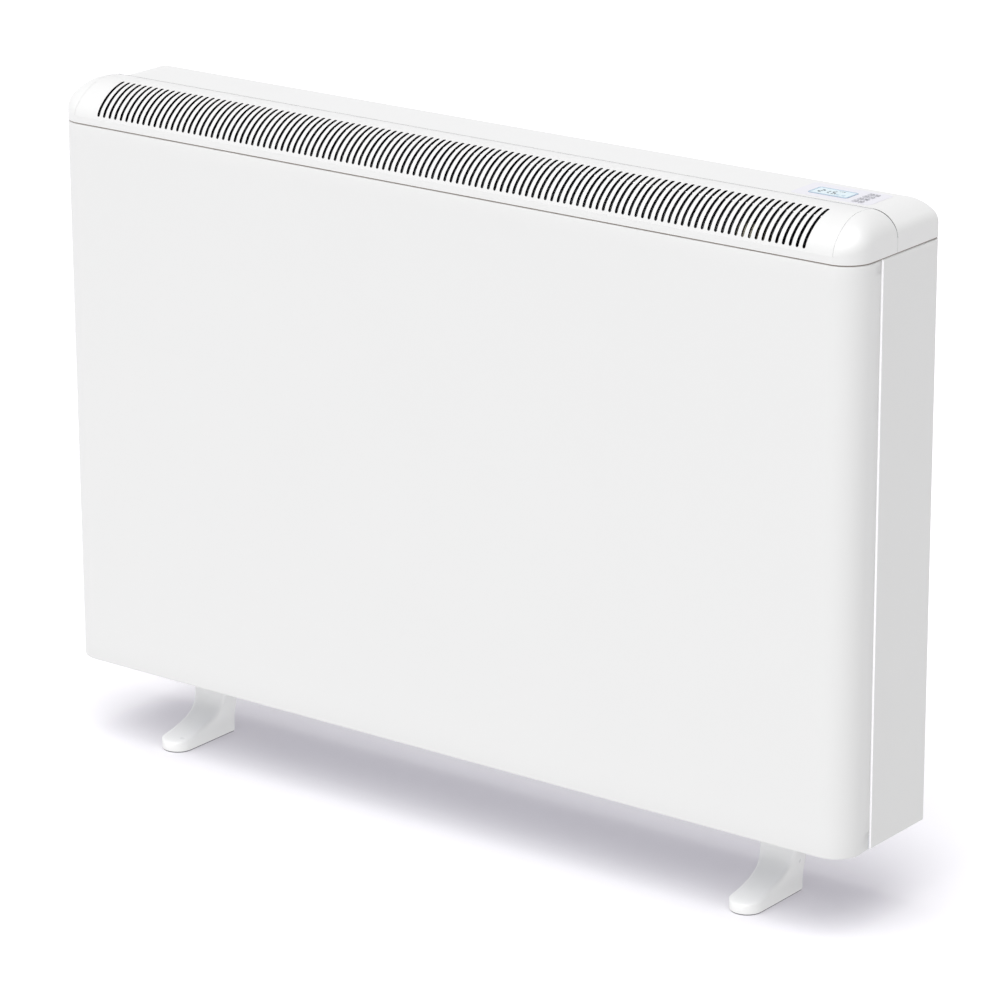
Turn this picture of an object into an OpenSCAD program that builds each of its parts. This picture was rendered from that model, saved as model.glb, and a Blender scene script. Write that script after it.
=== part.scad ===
// Slimline combined storage heater with a slotted convector top.
// Lengths are in millimetres. The origin is on the floor, under the middle of
// the heater. +Z is up, the front faces -Y and the controls are at the +X end.

/* [Casing] */
// Width over both side panels
width = 1020; // [960:10:1200]
// Depth of the folded casing, without the screw heads at the back
casing_depth = 148; // [144:1:180]
// Height of the casing from its underside to the seam below the top unit
casing_height = 610; // [580:5:760]
// Height of the feet, from the floor to the casing
foot_height = 88; // [75:1:110]
// Thickness of the folded steel sheet
sheet = 1.2; // [0.8:0.1:1.6]
// Radius of the front corners, seen from above
corner_r = 30; // [24:1:36]
// Depth of the front panel's side returns
return_depth = 48; // [42:1:60]
// Visible joint between the casing and the top unit
seam = 0.8; // [0.4:0.1:1.6]

/* [Top unit] */
// Height of the upright lip round the bottom of the top unit
lip_height = 8; // [7:0.5:12]
// Height of the grille's crown above the lip
crown_rise = 34; // [30:0.5:40]
// Height of the flat top above the lip
flat_rise = 28; // [25:0.5:30]
// Wall of the moulded top cover
cover_wall = 2; // [1.6:0.1:2.4]
// Front edge of the flat top, measured from the front face
flat_front = 74; // [72:1:80]
// Length of each end dome
dome_length = 29; // [26:0.5:34]
// Width of the rounded shoulder along each end of the flat top
shoulder_width = 35; // [30:1:42]
// Height of the rounded shoulder
shoulder_height = 21; // [17:0.5:23]

/* [Outlet grille] */
// Number of outlet slots
slot_count = 115; // [95:2:117]
// Distance from slot to slot
slot_pitch = 7.9; // [7.6:0.1:8]
// Width of a slot
slot_width = 2.7; // [2:0.1:3.4]
// Wall of the grille moulding
grille_wall = 2.5; // [2:0.1:3]
// Lean of the grille's front edge from upright, in degrees
grille_lean = 8; // [5:1:12]
// Radius of the grille's front curve
nose_r = 24; // [20:1:28]
// Turn of the front curve, in degrees from level, where the crown curve takes over
nose_turn = 40; // [36:1:44]
// Radius of the fall behind the crown
fall_r = 100; // [100:5:140]
// Turn of the front curve at which a slot starts, in degrees
slot_start = 16; // [14:1:22]
// Distance of a slot's upper end in front of the crown
slot_stop = 9; // [4:1:16]

/* [Storage core] */
// Rows of storage bricks
brick_rows = 4; // [3:1:5]
// Bricks side by side in a row
brick_cols = 4; // [3:1:5]
// Play between neighbouring bricks
brick_gap = 0.4; // [0.2:0.1:1]
// Diameter of a heating element's sheath
element_dia = 8.5; // [6.5:0.5:9.5]
// Thickness of the front and rear insulation boards
face_board = 20; // [16:1:24]
// Thickness of the base and top insulation boards
edge_board = 25; // [20:1:30]
// Thickness of the end insulation boards
end_board = 24; // [20:1:30]
// Air passage between the front insulation and the bricks
core_passage = 6; // [6:0.5:9]
// Depth of the air duct, from the front face to the inner front panel
duct_depth = 14; // [13.5:0.5:20]
// Space between the left side of the casing and the core box
left_space = 40; // [36:1:60]
// Width of the control bay at the right, with the side panel
bay_width = 158; // [154:1:180]
// Space above the core box, up to the top unit's seam
headroom = 13.3; // [12:0.1:20]

/* [Convector element] */
// Height of the fins of the direct-acting element
fin_height = 60; // [40:2:80]
// Height of the direct-acting element above the casing's underside
fin_centre = 58; // [54:1:90]
// Diameter of the direct-acting element's tube
tube_dia = 8; // [7:0.5:9]

/* [Damper] */
// Diameter of the damper's hinge rod
rod_dia = 3; // [2.6:0.1:3.4]
// Distance of the hinge axis behind the front face
hinge_depth = 49; // [48.5:0.5:52]
// Height of the hinge axis above the core box
hinge_rise = 4.2; // [4.1:0.1:5]
// Length of the damper flap in front of its hinge
flap_reach = 18; // [17:0.5:20]

/* [Controls] */
// Width of the display window
window_width = 46; // [44:1:50]
// Depth of the display window
window_depth = 24; // [22:1:28]
// Distance of the window's middle from the right end
window_inset = 101; // [98:1:104]
// Distance of the middle of the window and keys from the casing's back
panel_inset = 34; // [32:1:40]
// Distance of the middle of the two key columns from the right end
keys_inset = 63; // [61:0.5:64]
// Distance from key to key along a column
key_pitch = 9.6; // [9.2:0.1:10]
// Distance between the two columns of keys
key_spread = 6.8; // [6.7:0.1:9]
// Width of a key cap
key_width = 5; // [4:0.1:5.1]
// Depth of a key cap
key_depth = 6.4; // [5.5:0.1:7]
// Height of a key cap above the flat top
key_proud = 0.9; // [0.8:0.1:1.5]
// Travel of a key
key_travel = 0.7; // [0.4:0.1:0.8]
// Width of the relay board
relay_width = 92; // [70:1:96]
// Height of the relay board
relay_height = 168; // [120:2:240]
// Distance of the relay board from the core box
relay_gap = 32; // [26:1:40]
// Height of the relay board above the casing's underside
relay_rise = 165; // [120:5:200]
// Travel of the thermal cut-out's reset button
reset_travel = 1.5; // [1:0.1:2]

/* [Feet] */
// Distance of each foot's middle from the end of the heater
foot_inset = 130; // [120:5:200]
// Width of the foot at the toe
toe_width = 36; // [32:1:44]
// Width of the foot's upright shank
shank_width = 46; // [38:1:52]
// Distance of the toe's tip behind the front face
toe_front = 5; // [0:1:15]
// Distance of the foot's back behind the front face
foot_back = 98; // [92:1:120]
// Distance of the shank's front behind the front face
shank_front = 77; // [70:1:80]
// Radius of the foot's long edges
foot_edge = 5; // [3:0.5:8]
// Thickness of the rubber pad under each foot
pad_height = 1.5; // [1:0.1:3]

/* [Fixings] */
// Diameter of the casing screws
screw_dia = 3.9; // [3:0.1:4.2]
// Diameter of a casing screw's head
head_dia = 7; // [6:0.5:7.5]
// Height of a casing screw's head
head_height = 2; // [1.5:0.1:2.5]
// Diameter of a foot bolt
bolt_dia = 6; // [5:0.5:7]
// Diameter of a wall fixing hole
wall_hole_dia = 7; // [6:0.5:9]
// Distance of the wall fixing holes from the heater's middle
wall_hole_x = 483; // [480:1:486]
// Vertical distance between the two rows of wall fixing holes
wall_hole_rise = 480; // [400:10:500]
// Diameter of the bore through a cable gland
gland_bore = 10; // [6:0.5:13]

/* [Clearances] */
// Clearance between panels that fit inside each other
fit = 0.3; // [0.2:0.05:0.4]
// Radial clearance round pins, screws and elements
play = 0.15; // [0.1:0.05:0.2]

/* [Hidden] */
$fn = 48;
eps = 0.01;

// ---- levels and widths worked out from the driving dimensions ----
half_width = width / 2;
front_y = -(casing_depth + head_height) / 2;
casing_top = foot_height + casing_height;
panel_top = casing_top - seam / 2;
cover_bottom = casing_top + seam / 2;
lip_top = casing_top + lip_height;
crown_z = lip_top + crown_rise;
flat_z = lip_top + flat_rise;
flat_under = flat_z - cover_wall;

tray_bottom = foot_height + sheet + fit;
tray_top = tray_bottom + sheet;
tray_lip = 14;
tray_half = half_width - sheet - fit;
flange = 5;
fold = 14;

back_face = casing_depth - sheet - fit;      // rear face of the back panel
back_inner = back_face - sheet;              // its inner face
tray_rear = back_inner - fit;
box_rear = tray_rear - sheet - fit;          // rear of the core box

box_left = -half_width + left_space;
box_right = half_width - bay_width;
box_front = duct_depth + sheet;
box_top = casing_top - headroom;
box_lid = box_top + sheet;

core_left = box_left + sheet + end_board;
core_right = box_right - end_board;
core_bottom = tray_top + edge_board;
core_top = box_top - edge_board;
passage_front = box_front + face_board;
core_front = passage_front + core_passage;
core_rear = box_rear - face_board;
core_mid = (core_front + core_rear) / 2;     // plane of the heating elements
brick_height = (core_top - core_bottom) / brick_rows;
brick_width = (core_right - core_left - (brick_cols - 1) * brick_gap) / brick_cols;
node_rows = 4;

element_r = element_dia / 2;
leg_space = brick_height / 2;
bend_r = leg_space / 2;
bend_x = core_left + bend_r + element_dia + 6;
bay_x = box_right + sheet;                   // bay side of the inner right panel
collar_r = element_r + 2;
collar_length = 9;
stud_r = 2;
stud_length = 16;
nut_r = 4;
stud_end = bay_x + 5 + collar_length + stud_length;
trunk_x = bay_x + 47;
trunk_r = 4.5;
lead_r = 1.3;

// the grille's outline: a front curve, a crown curve and the fall behind it
nose_d = nose_r * cos(grille_lean);
nose_z = lip_top - nose_r * sin(grille_lean);
crown_r = (crown_z - nose_z - nose_r * sin(nose_turn)) / (1 - sin(nose_turn));
crown_d = nose_d + (crown_r - nose_r) * cos(nose_turn);
crown_cz = crown_z - crown_r;
nose_end = nose_d - nose_r * cos(nose_turn);
fall_turn = asin((flat_front - crown_d) / fall_r);
grille_half = half_width - dome_length;
cover_rear = casing_depth;

// the shoulder is a small arc and then a big one, which meet at this turn from level
shoulder_turn = 56;
shoulder_ratio = cos(shoulder_turn) / (1 - sin(shoulder_turn));
shoulder_small = (shoulder_height * shoulder_ratio - shoulder_width) / (shoulder_ratio - 1);
shoulder_big = (shoulder_height - shoulder_small * sin(shoulder_turn)) / (1 - sin(shoulder_turn));
shoulder_foot = flat_z - shoulder_height;

hinge_z = box_lid + hinge_rise;
flap_sheet = 1.2;
flap_left = box_left + 34;
flap_right = box_right - 32;
barrel_r = rod_dia / 2 + play + 1;
ear_width = 2;
ear_gap = 0.5;
ear_d = barrel_r + 0.6;
lug_length = 6;
shaft_r = 2;
motor_r = 18;
motor_length = 16;
outlet_left = flap_left + 6;
outlet_right = flap_right - 6;

board_drop = 12.4;                           // flat top to the control board
board_thick = 1.6;
board_top = flat_z - board_drop;
switch_height = 4;
panel_mid = casing_depth - panel_inset;
window_x = half_width - window_inset;
keys_x = half_width - keys_inset;
board_left = window_x - window_width / 2 - 11;
board_right = keys_x + key_spread + 10;
board_front = panel_mid - 22;
board_back = panel_mid + 26;
rim = 1.4;

tab_x = [-300, 0, 300];
rear_x = [-400, 0, 400];
tab_reach = 14;
tab_screw_d = 9.5;
side_screw_x = half_width - 8;
side_screw_z = [foot_height + 40, foot_height + casing_height / 2, casing_top - 60];
side_screw_d = [70, 128];
cover_screw_z = casing_top + 17;
tray_screw_z = tray_top + 6.5;
screw_r = screw_dia / 2;
screw_hole_r = screw_r + play;
head_r = head_dia / 2;

foot_x = half_width - foot_inset;
foot_plate_half = 38;
foot_plate_front = 70;
foot_plate_rear = 106;
foot_plate_thick = 4;
bolt_x = 29;
bolt_d = 88;
bolt_r = bolt_dia / 2;
bolt_head_r = bolt_dia * 0.85;
bolt_head = bolt_dia * 0.65;

gland_x = [half_width - 74, half_width - 37];
gland_d = 110;
gland_thread_r = gland_bore / 2 + 4.6;
gland_nut_r = gland_thread_r + 4.4;

reset_z = casing_top - 58;
reset_d = 118;
reset_r = 2.5;
cutout_r = 12;
cutout_length = 12;
reset_proud = 3;
sensor_z = foot_height + casing_height / 2;
sensor_r = 2.2;
terminal_z = tray_top + 14;

// ---- helpers ----
// distance d behind the front face, as a Y coordinate
function yf(d) = front_y + d;
// height of the middle of a hairpin's leg in a brick row
function leg_z(row, leg) = core_bottom + row * brick_height + (leg + 0.5) * leg_space;

module box(x0, x1, d0, d1, z0, z1) {
  translate([x0, yf(d0), z0]) cube([x1 - x0, d1 - d0, z1 - z0]);
}
module rod_x(x0, x1, d, z, r) {
  translate([x0, yf(d), z]) rotate([0, 90, 0]) cylinder(h = x1 - x0, r = r);
}
module rod_y(x, d0, d1, z, r) {
  translate([x, yf(d0), z]) rotate([-90, 0, 0]) cylinder(h = d1 - d0, r = r);
}
module rod_z(x, d, z0, z1, r) {
  translate([x, yf(d), z0]) cylinder(h = z1 - z0, r = r);
}
// a drawing whose axes are depth and height, pulled out along X
module along_x(x0, x1) {
  translate([x0, front_y, 0]) rotate([90, 0, 90]) linear_extrude(x1 - x0) children();
}
// a drawing whose axes are X and height, pulled out along the depth
module along_y(d0, d1) {
  translate([0, yf(d1), 0]) rotate([90, 0, 0]) linear_extrude(d1 - d0) children();
}
// outline of the casing from above, with rounded front corners
module plan(half, d0, d1, r) {
  translate([-half, yf(d0) + r]) square([2 * half, d1 - d0 - r]);
  translate([-half + r, yf(d0)]) square([2 * (half - r), r + eps]);
  for (e = [-1, 1]) translate([e * (half - r), yf(d0) + r]) intersection() {
    circle(r);
    translate([-r, -r]) square([2 * r, r + eps]);
  }
}
module slab(z0, z1) {
  translate([0, 0, z0]) linear_extrude(z1 - z0) children();
}
// a round lead through a list of [x, d, z] points
module lead(points, r) {
  for (i = [0:len(points) - 2]) {
    a = [points[i][0], yf(points[i][1]), points[i][2]];
    b = [points[i + 1][0], yf(points[i + 1][1]), points[i + 1][2]];
    v = b - a;
    length = norm(v);
    translate(a)
      rotate([0, acos(v[2] / length), atan2(v[1], v[0])])
        cylinder(h = length, r = r, $fn = 16);
    if (i > 0) translate(a) sphere(r + 0.3, $fn = 16);
  }
}

// ---- casing ----
module front_panel() {
  color("white") {
    difference() {
      slab(foot_height, panel_top) plan(half_width, 0, return_depth, corner_r);
      slab(foot_height + sheet, panel_top + 1)
        plan(half_width - sheet, sheet, return_depth + 1, corner_r - sheet);
      slab(foot_height - 1, foot_height + sheet + 1)
        plan(half_width - flange, flange, return_depth + 1, corner_r - flange);
    }
    for (x = tab_x) difference() {
      box(x - 14, x + 14, flange - eps, tab_reach, foot_height, foot_height + sheet);
      rod_z(x, tab_screw_d, foot_height - 1, foot_height + sheet + 1, screw_hole_r);
    }
    // folded edges behind the side returns
    for (s = [-1, 1]) {
      x = s * (half_width - sheet - 3.5);
      box(x - 3.5 - eps, x + 3.5 + eps, return_depth - sheet, return_depth,
          tray_bottom + tray_lip + 3, panel_top - 14);
    }
  }
}
module side_panel(s) {
  edge = return_depth + 0.4;
  color("whitesmoke") mirror([s < 0 ? 1 : 0, 0, 0]) difference() {
    union() {
      box(half_width - sheet, half_width, edge, casing_depth, foot_height, panel_top);
      box(half_width - 12, half_width - sheet + eps, edge, edge + sheet,
          tray_bottom + tray_lip + 3, panel_top - 14);
      box(half_width - fold, half_width - sheet + eps, casing_depth - sheet, casing_depth,
          foot_height, panel_top);
      box(half_width - fold, half_width - sheet + eps, edge + 2, casing_depth - sheet + eps,
          foot_height, foot_height + sheet);
    }
    for (z = side_screw_z)
      rod_y(side_screw_x, casing_depth - sheet - 1, casing_depth + 1, z, screw_hole_r);
    for (d = side_screw_d)
      rod_z(side_screw_x, d, foot_height - 1, foot_height + sheet + 1, screw_hole_r);
  }
}
module back_panel() {
  tab_d = cover_rear - cover_wall - fit - sheet;
  color("gainsboro") difference() {
    union() {
      box(-tray_half, tray_half, back_inner, back_face, tray_bottom, panel_top);
      for (x = rear_x) {
        box(x - 16, x + 16, tab_d, tab_d + sheet, panel_top - 14, cover_screw_z + 9);
        box(x - 16, x + 16, tab_d, back_inner + eps, panel_top - 14, panel_top - 1);
      }
    }
    for (x = rear_x) rod_y(x, tab_d - 1, tab_d + sheet + 1, cover_screw_z, screw_hole_r);
    for (x = tab_x) rod_y(x, back_inner - 1, back_face + 1, tray_screw_z, screw_hole_r);
    for (s = [-1, 1]) {
      for (z = side_screw_z)
        rod_y(s * side_screw_x, back_inner - 1, back_face + 1, z, screw_hole_r);
      for (t = [-1, 1])
        rod_y(s * wall_hole_x, back_inner - 1, back_face + 1,
              sensor_z + t * wall_hole_rise / 2, wall_hole_dia / 2);
    }
  }
}
module base_tray() {
  slot_step = 20;
  slot_n = floor((half_width - 60) / slot_step);
  color("gainsboro") difference() {
    slab(tray_bottom, tray_bottom + tray_lip)
      plan(tray_half, sheet + fit, tray_rear, corner_r - sheet - fit);
    slab(tray_top, tray_top + tray_lip)
      plan(tray_half - sheet, 2 * sheet + fit, tray_rear - sheet, corner_r - 2 * sheet - fit);
    // air intake into the front duct
    for (i = [-slot_n:slot_n], x = [i * slot_step])
      if (min([for (t = tab_x) abs(x - t)]) > 18)
        box(x - 7, x + 7, 7, duct_depth - 1, tray_bottom - 1, tray_top + 1);
    // air intake into the passage in front of the bricks
    for (x = [core_left + 20:slot_step * 2:core_right - 30])
      box(x - 12, x + 12, passage_front + 0.5, core_front - 0.5, tray_bottom - 1, tray_top + 1);
    for (x = tab_x) {
      rod_z(x, tab_screw_d, tray_bottom - 1, tray_top + 1, screw_hole_r);
      rod_y(x, tray_rear - sheet - 1, tray_rear + 1, tray_screw_z, screw_hole_r);
    }
    for (s = [-1, 1]) {
      for (d = side_screw_d)
        rod_z(s * side_screw_x, d, tray_bottom - 1, tray_top + 1, screw_hole_r);
      for (t = [-1, 1])
        rod_z(s * foot_x + t * bolt_x, bolt_d, tray_bottom - 1, tray_top + 1, bolt_r + play);
    }
    for (x = gland_x) rod_z(x, gland_d, tray_bottom - 1, tray_top + 1, gland_thread_r + play);
  }
}

// ---- top unit ----
// height of the grille's outline at distance d, for a wall set in by t
function crown_height(d, t) =
  d < nose_end ? nose_z + sqrt(pow(nose_r - t, 2) - pow(min(nose_d - d, nose_r - t), 2))
  : d < crown_d ? crown_cz + sqrt(pow(crown_r - t, 2) - pow(crown_d - d, 2))
  : crown_z - fall_r + sqrt(pow(fall_r - t, 2) - pow(d - crown_d, 2));
// half width of the rounded outline at distance d, for a wall set in by t
function end_x(d, t) =
  half_width - corner_r
  + (d < corner_r ? sqrt(pow(corner_r - t, 2) - pow(corner_r - d, 2)) : corner_r - t);
// height at which the dome's side starts to round over
function dome_foot(d) =
  lip_top + (shoulder_foot - lip_top) * sin(90 * min(1, d / corner_r));
dome_steps = 12;
dome_arc = 8;
// one upright slice through an end dome, as [x, y, z] points
function dome_slice(d, t, x_in, z_low) = let (
  x_out = end_x(d, t), foot = dome_foot(d), top = max(crown_height(d, t), foot + 0.3),
  x_arc = min(grille_half + fit + 0.5, x_out - 0.5), y = yf(d)
) concat(
  [[x_in, y, z_low], [x_out, y, z_low]],
  [for (i = [0:dome_arc]) let (a = 90 * i / dome_arc)
    [x_arc + (x_out - x_arc) * cos(a), y, foot + (top - foot) * sin(a)]],
  [[x_in, y, top]]
);
module loft(slices) {
  n = len(slices[0]);
  m = len(slices);
  polyhedron(
    points = [for (s = slices) each s],
    faces = concat(
      [[for (i = [0:n - 1]) i]],
      [[for (i = [n - 1:-1:0]) (m - 1) * n + i]],
      [for (k = [0:m - 2], i = [0:n - 1], h = [0, 1]) let (
        j = (i + 1) % n, a = k * n + i, b = k * n + j, c = a + n, e = b + n
      ) h == 0 ? [a, c, b] : [b, c, e]]
    )
  );
}
module dome_shell() {
  start = 0.25;
  difference() {
    loft([for (k = [dome_steps:-1:0])
      dome_slice(start + (flat_front - start) * pow(k / dome_steps, 1.7), 0,
                 grille_half + fit, cover_bottom)]);
    loft([for (k = [dome_steps:-1:0])
      dome_slice(cover_wall + (flat_front - 2 * cover_wall) * pow(k / dome_steps, 1.5),
                 cover_wall, grille_half - 4, cover_bottom - 2)]);
  }
}
// right-hand half of the shoulder curve, for a wall set in by t
function shoulder(t) = let (
  ax = half_width - shoulder_small, az = shoulder_foot,
  bx = ax - (shoulder_big - shoulder_small) * cos(shoulder_turn),
  bz = az - (shoulder_big - shoulder_small) * sin(shoulder_turn)
) concat(
  [for (i = [0:6]) let (a = shoulder_turn * i / 6)
    [ax + (shoulder_small - t) * cos(a), az + (shoulder_small - t) * sin(a)]],
  [for (i = [1:6]) let (a = shoulder_turn + (90 - shoulder_turn) * i / 6)
    [bx + (shoulder_big - t) * cos(a), bz + (shoulder_big - t) * sin(a)]]
);
module arch(t, z_low) {
  right = concat([[half_width - t, z_low]], shoulder(t));
  polygon(concat(right, [for (i = [len(right) - 1:-1:0]) [-right[i][0], right[i][1]]]));
}
module key_holes(grow, z0, z1) {
  for (i = [0:7]) {
    x = keys_x + (floor(i / 4) - 0.5) * key_spread;
    d = panel_mid + (1.5 - i % 4) * key_pitch;
    box(x - key_width / 2 - grow, x + key_width / 2 + grow,
        d - key_depth / 2 - grow, d + key_depth / 2 + grow, z0, z1);
  }
}
post_places = [
  [board_left + 5, board_front + 5], [board_left + 5, board_back - 5],
  [board_right - 4, board_front - 1], [board_right - 4, board_back - 1]
];
module top_cover() {
  ledge = 7;
  seat = 8;
  color("white") difference() {
    union() {
      // flat top, shoulders, ends and rear wall
      difference() {
        along_y(flat_front, cover_rear) arch(0, cover_bottom);
        along_y(flat_front - 1, cover_rear - cover_wall) arch(cover_wall, cover_bottom - 2);
      }
      // ledge under the grille's rear edge
      box(-grille_half, grille_half, flat_front - seat, flat_front + eps, flat_under, flat_z);
      // upright lip and the ledge under the grille's front edge
      box(-grille_half - 1, grille_half + 1, 0, cover_wall, cover_bottom, lip_top);
      box(-grille_half - 1, grille_half + 1, 0, ledge, lip_top - cover_wall, lip_top);
      dome_shell();
      mirror([1, 0, 0]) dome_shell();
      // clips behind the front panel
      for (k = [-3:2:3], x = [k * width / 8.5])
        box(x - 10, x + 10, sheet + fit, sheet + fit + 1.4, panel_top - 11, lip_top - 1);
      for (p = post_places) rod_z(p[0], p[1], board_top, flat_under + eps, 3);
    }
    box(window_x - window_width / 2 - fit, window_x + window_width / 2 + fit,
        panel_mid - window_depth / 2 - fit, panel_mid + window_depth / 2 + fit,
        flat_under - 1, flat_z + 1);
    key_holes(fit, flat_under - 1, flat_z + 1);
    for (p = post_places) rod_z(p[0], p[1], board_top - 1, flat_under - 2, 1.2 + play);
    for (x = rear_x)
      rod_y(x, cover_rear - cover_wall - 1, cover_rear + 1, cover_screw_z, screw_hole_r);
  }
}
// part of a ring between two directions, in degrees from level
module ring(cd, cz, r, wall, a0, a1) {
  far = r * 2;
  translate([cd, cz]) difference() {
    intersection() {
      circle(r, $fn = 96);
      polygon([[0, 0], far * [-cos(a0), sin(a0)], far * [-cos((a0 + a1) / 2), sin((a0 + a1) / 2)],
               far * [-cos(a1), sin(a1)]]);
    }
    circle(r - wall, $fn = 96);
  }
}
// direction at a turn from level, as [depth, height]
function toward(turn) = [-cos(turn), sin(turn)];
// all the slots in one cutter, pulled the way the mould opens
module slot_cutter() {
  end_turn = acos(slot_stop / crown_r);
  pull = (slot_start + end_turn) / 2;
  along = [sin(pull), cos(pull)];
  low = [nose_d, nose_z] + nose_r * toward(slot_start);
  high = [crown_d, crown_cz] + crown_r * toward(end_turn);
  r = slot_width / 2;
  v0 = low * along + r;
  v1 = high * along - r;
  u0 = min(low * toward(pull), high * toward(pull)) - 2 * grille_wall;
  u1 = [crown_d, crown_cz] * toward(pull) + crown_r + 2;
  translate([0, front_y, 0]) rotate([90 - pull, 0, 0]) translate([0, 0, u0])
    linear_extrude(u1 - u0)
      for (i = [0:slot_count - 1])
        translate([(i - (slot_count - 1) / 2) * slot_pitch, 0]) {
          translate([-r, v0]) square([slot_width, v1 - v0]);
          translate([0, v0]) circle(r);
          translate([0, v1]) circle(r);
        }
}
module outlet_grille() {
  lap = 0.03;
  rear_wall = 1.8;
  rear = flat_front - 0.3;
  color("white") difference() {
    along_x(-grille_half, grille_half) difference() {
      union() {
        ring(nose_d, nose_z, nose_r, grille_wall, grille_lean - 6, nose_turn + 8);
        ring(crown_d, crown_cz, crown_r - lap, grille_wall, nose_turn, 98);
        ring(crown_d, crown_z - fall_r, fall_r - 2 * lap, grille_wall, 90, 90 + fall_turn);
        translate([rear - rear_wall, flat_z])
          square([rear_wall, crown_height(flat_front, 1) - flat_z]);
      }
      translate([-10, lip_top - 10]) square([30, 10]);
      translate([rear, flat_z - 10]) square([10, 30]);
    }
    slot_cutter();
  }
}

// ---- core box ----
module inner_front_panel() {
  color("silver") box(box_left, bay_x, duct_depth, box_front, tray_top, box_lid);
}
module inner_left_panel() {
  color("silver") box(box_left, box_left + sheet, box_front, box_rear, tray_top, box_lid);
}
module bay_holes(x0, x1) {
  for (row = [0:brick_rows - 1], leg = [0, 1])
    rod_x(x0, x1, core_mid, leg_z(row, leg), element_r + play);
  rod_x(x0, x1, (passage_front + core_front) / 2, sensor_z, sensor_r + play);
}
module inner_right_panel() {
  color("silver") difference() {
    union() {
      box(box_right, bay_x, box_front, box_rear, tray_top, box_lid);
      box(box_right, bay_x, hinge_depth - motor_r - 4, hinge_depth + motor_r + 4,
          box_lid - eps, hinge_z + motor_r + 4);
    }
    bay_holes(box_right - 1, bay_x + 1);
    rod_x(box_right - 1, bay_x + 1, hinge_depth, hinge_z, shaft_r + 0.5);
  }
}
module inner_top_panel() {
  color("silver") difference() {
    box(box_left + sheet, box_right, box_front, box_rear, box_top, box_lid);
    box(outlet_left, outlet_right, passage_front, core_front, box_top - 1, box_lid + 1);
  }
}

module face_insulation(d0) {
  color("oldlace") box(box_left + sheet, box_right, d0, d0 + face_board, tray_top, box_top);
}
module insulation_front() { face_insulation(box_front); }
module insulation_rear() { face_insulation(core_rear); }
module insulation_left() {
  color("oldlace")
    box(box_left + sheet, core_left, passage_front, core_rear, tray_top, box_top);
}
module insulation_right() {
  color("oldlace") difference() {
    box(core_right, box_right, passage_front, core_rear, tray_top, box_top);
    bay_holes(core_right - 1, box_right + 1);
  }
}
module edge_insulation(z0, left, right) {
  color("oldlace") difference() {
    box(core_left, core_right, passage_front, core_rear, z0, z0 + edge_board);
    box(left, right, passage_front - 1, core_front, z0 - 1, z0 + edge_board + 1);
  }
}
module insulation_base() { edge_insulation(tray_top, core_left + 5, core_right - 5); }
module insulation_top() {
  edge_insulation(core_top, max(outlet_left, core_left + 5), min(outlet_right, core_right - 5));
}

// a row of bricks in front of the elements (side 0) or behind them (side 1),
// with half-round grooves for the hairpin
module brick_row(row, side) {
  z0 = core_bottom + row * brick_height;
  d0 = side == 0 ? core_front : core_mid + brick_gap / 2;
  d1 = side == 0 ? core_mid - brick_gap / 2 : core_rear;
  groove = element_r + play;
  color("dimgray") if (row < brick_rows) difference() {
    for (i = [0:brick_cols - 1], x = [core_left + i * (brick_width + brick_gap)])
      box(x, x + brick_width, d0, d1, z0, z0 + brick_height);
    for (leg = [0, 1]) rod_x(bend_x, core_right + 1, core_mid, leg_z(row, leg), groove);
    hairpin_bend(row, groove);
  }
}
module hairpin_bend(row, r) {
  translate([bend_x, yf(core_mid), leg_z(row, 0) + bend_r]) rotate([90, 0, 0])
    rotate([0, 0, 90]) rotate_extrude(angle = 180, $fn = 64) translate([bend_r, 0]) circle(r, $fn = 32);
}
module heating_element(row) {
  collar_x = bay_x + 5;
  color("slategray") if (row < brick_rows) union() {
    hairpin_bend(row, element_r);
    for (leg = [0, 1]) {
      z = leg_z(row, leg);
      rod_x(bend_x, collar_x + 1, core_mid, z, element_r);
      rod_x(collar_x, collar_x + collar_length, core_mid, z, collar_r);
      rod_x(collar_x + collar_length - 1, stud_end, core_mid, z, stud_r);
      translate([collar_x + collar_length + 3, yf(core_mid), z]) rotate([0, 90, 0])
        cylinder(h = 3.2, r = nut_r, $fn = 6);
    }
  }
}

// ---- direct-acting convector element in the front duct ----
boost_left = box_left + 50;
boost_right = box_right - 20;
boost_z = foot_height + fin_centre;
boost_d = (sheet + duct_depth) / 2;
tail_r = 3;
module boost_element() {
  fin_reach = 4.6;
  color("lightgray") {
    along_x(boost_left, boost_right) {
      translate([boost_d, boost_z]) circle(tube_dia / 2);
      translate([boost_d - 0.6, boost_z - fin_height / 2]) square([1.2, fin_height]);
      for (k = [-3:3]) if (k != 0)
        translate([boost_d - fin_reach, boost_z + k * fin_height / 6 - 0.6 - sign(k) * 0.6])
          square([2 * fin_reach, 1.2]);
    }
    rod_x(boost_left - 14, boost_left + 1, boost_d, boost_z, tail_r);
    rod_x(boost_right - 1, boost_right + 30, boost_d, boost_z, tail_r);
  }
}
module boost_brackets() {
  color("silver") for (x = [boost_left - 10, boost_right + 4]) difference() {
    union() {
      box(x, x + 6, boost_d - tail_r - 2, duct_depth, boost_z - tail_r - 3, boost_z + tail_r + 3);
      box(x, x + 6, duct_depth - 1.5, duct_depth, boost_z - 18, boost_z + 18);
    }
    rod_x(x - 1, x + 7, boost_d, boost_z, tail_r + play);
  }
}

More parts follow.
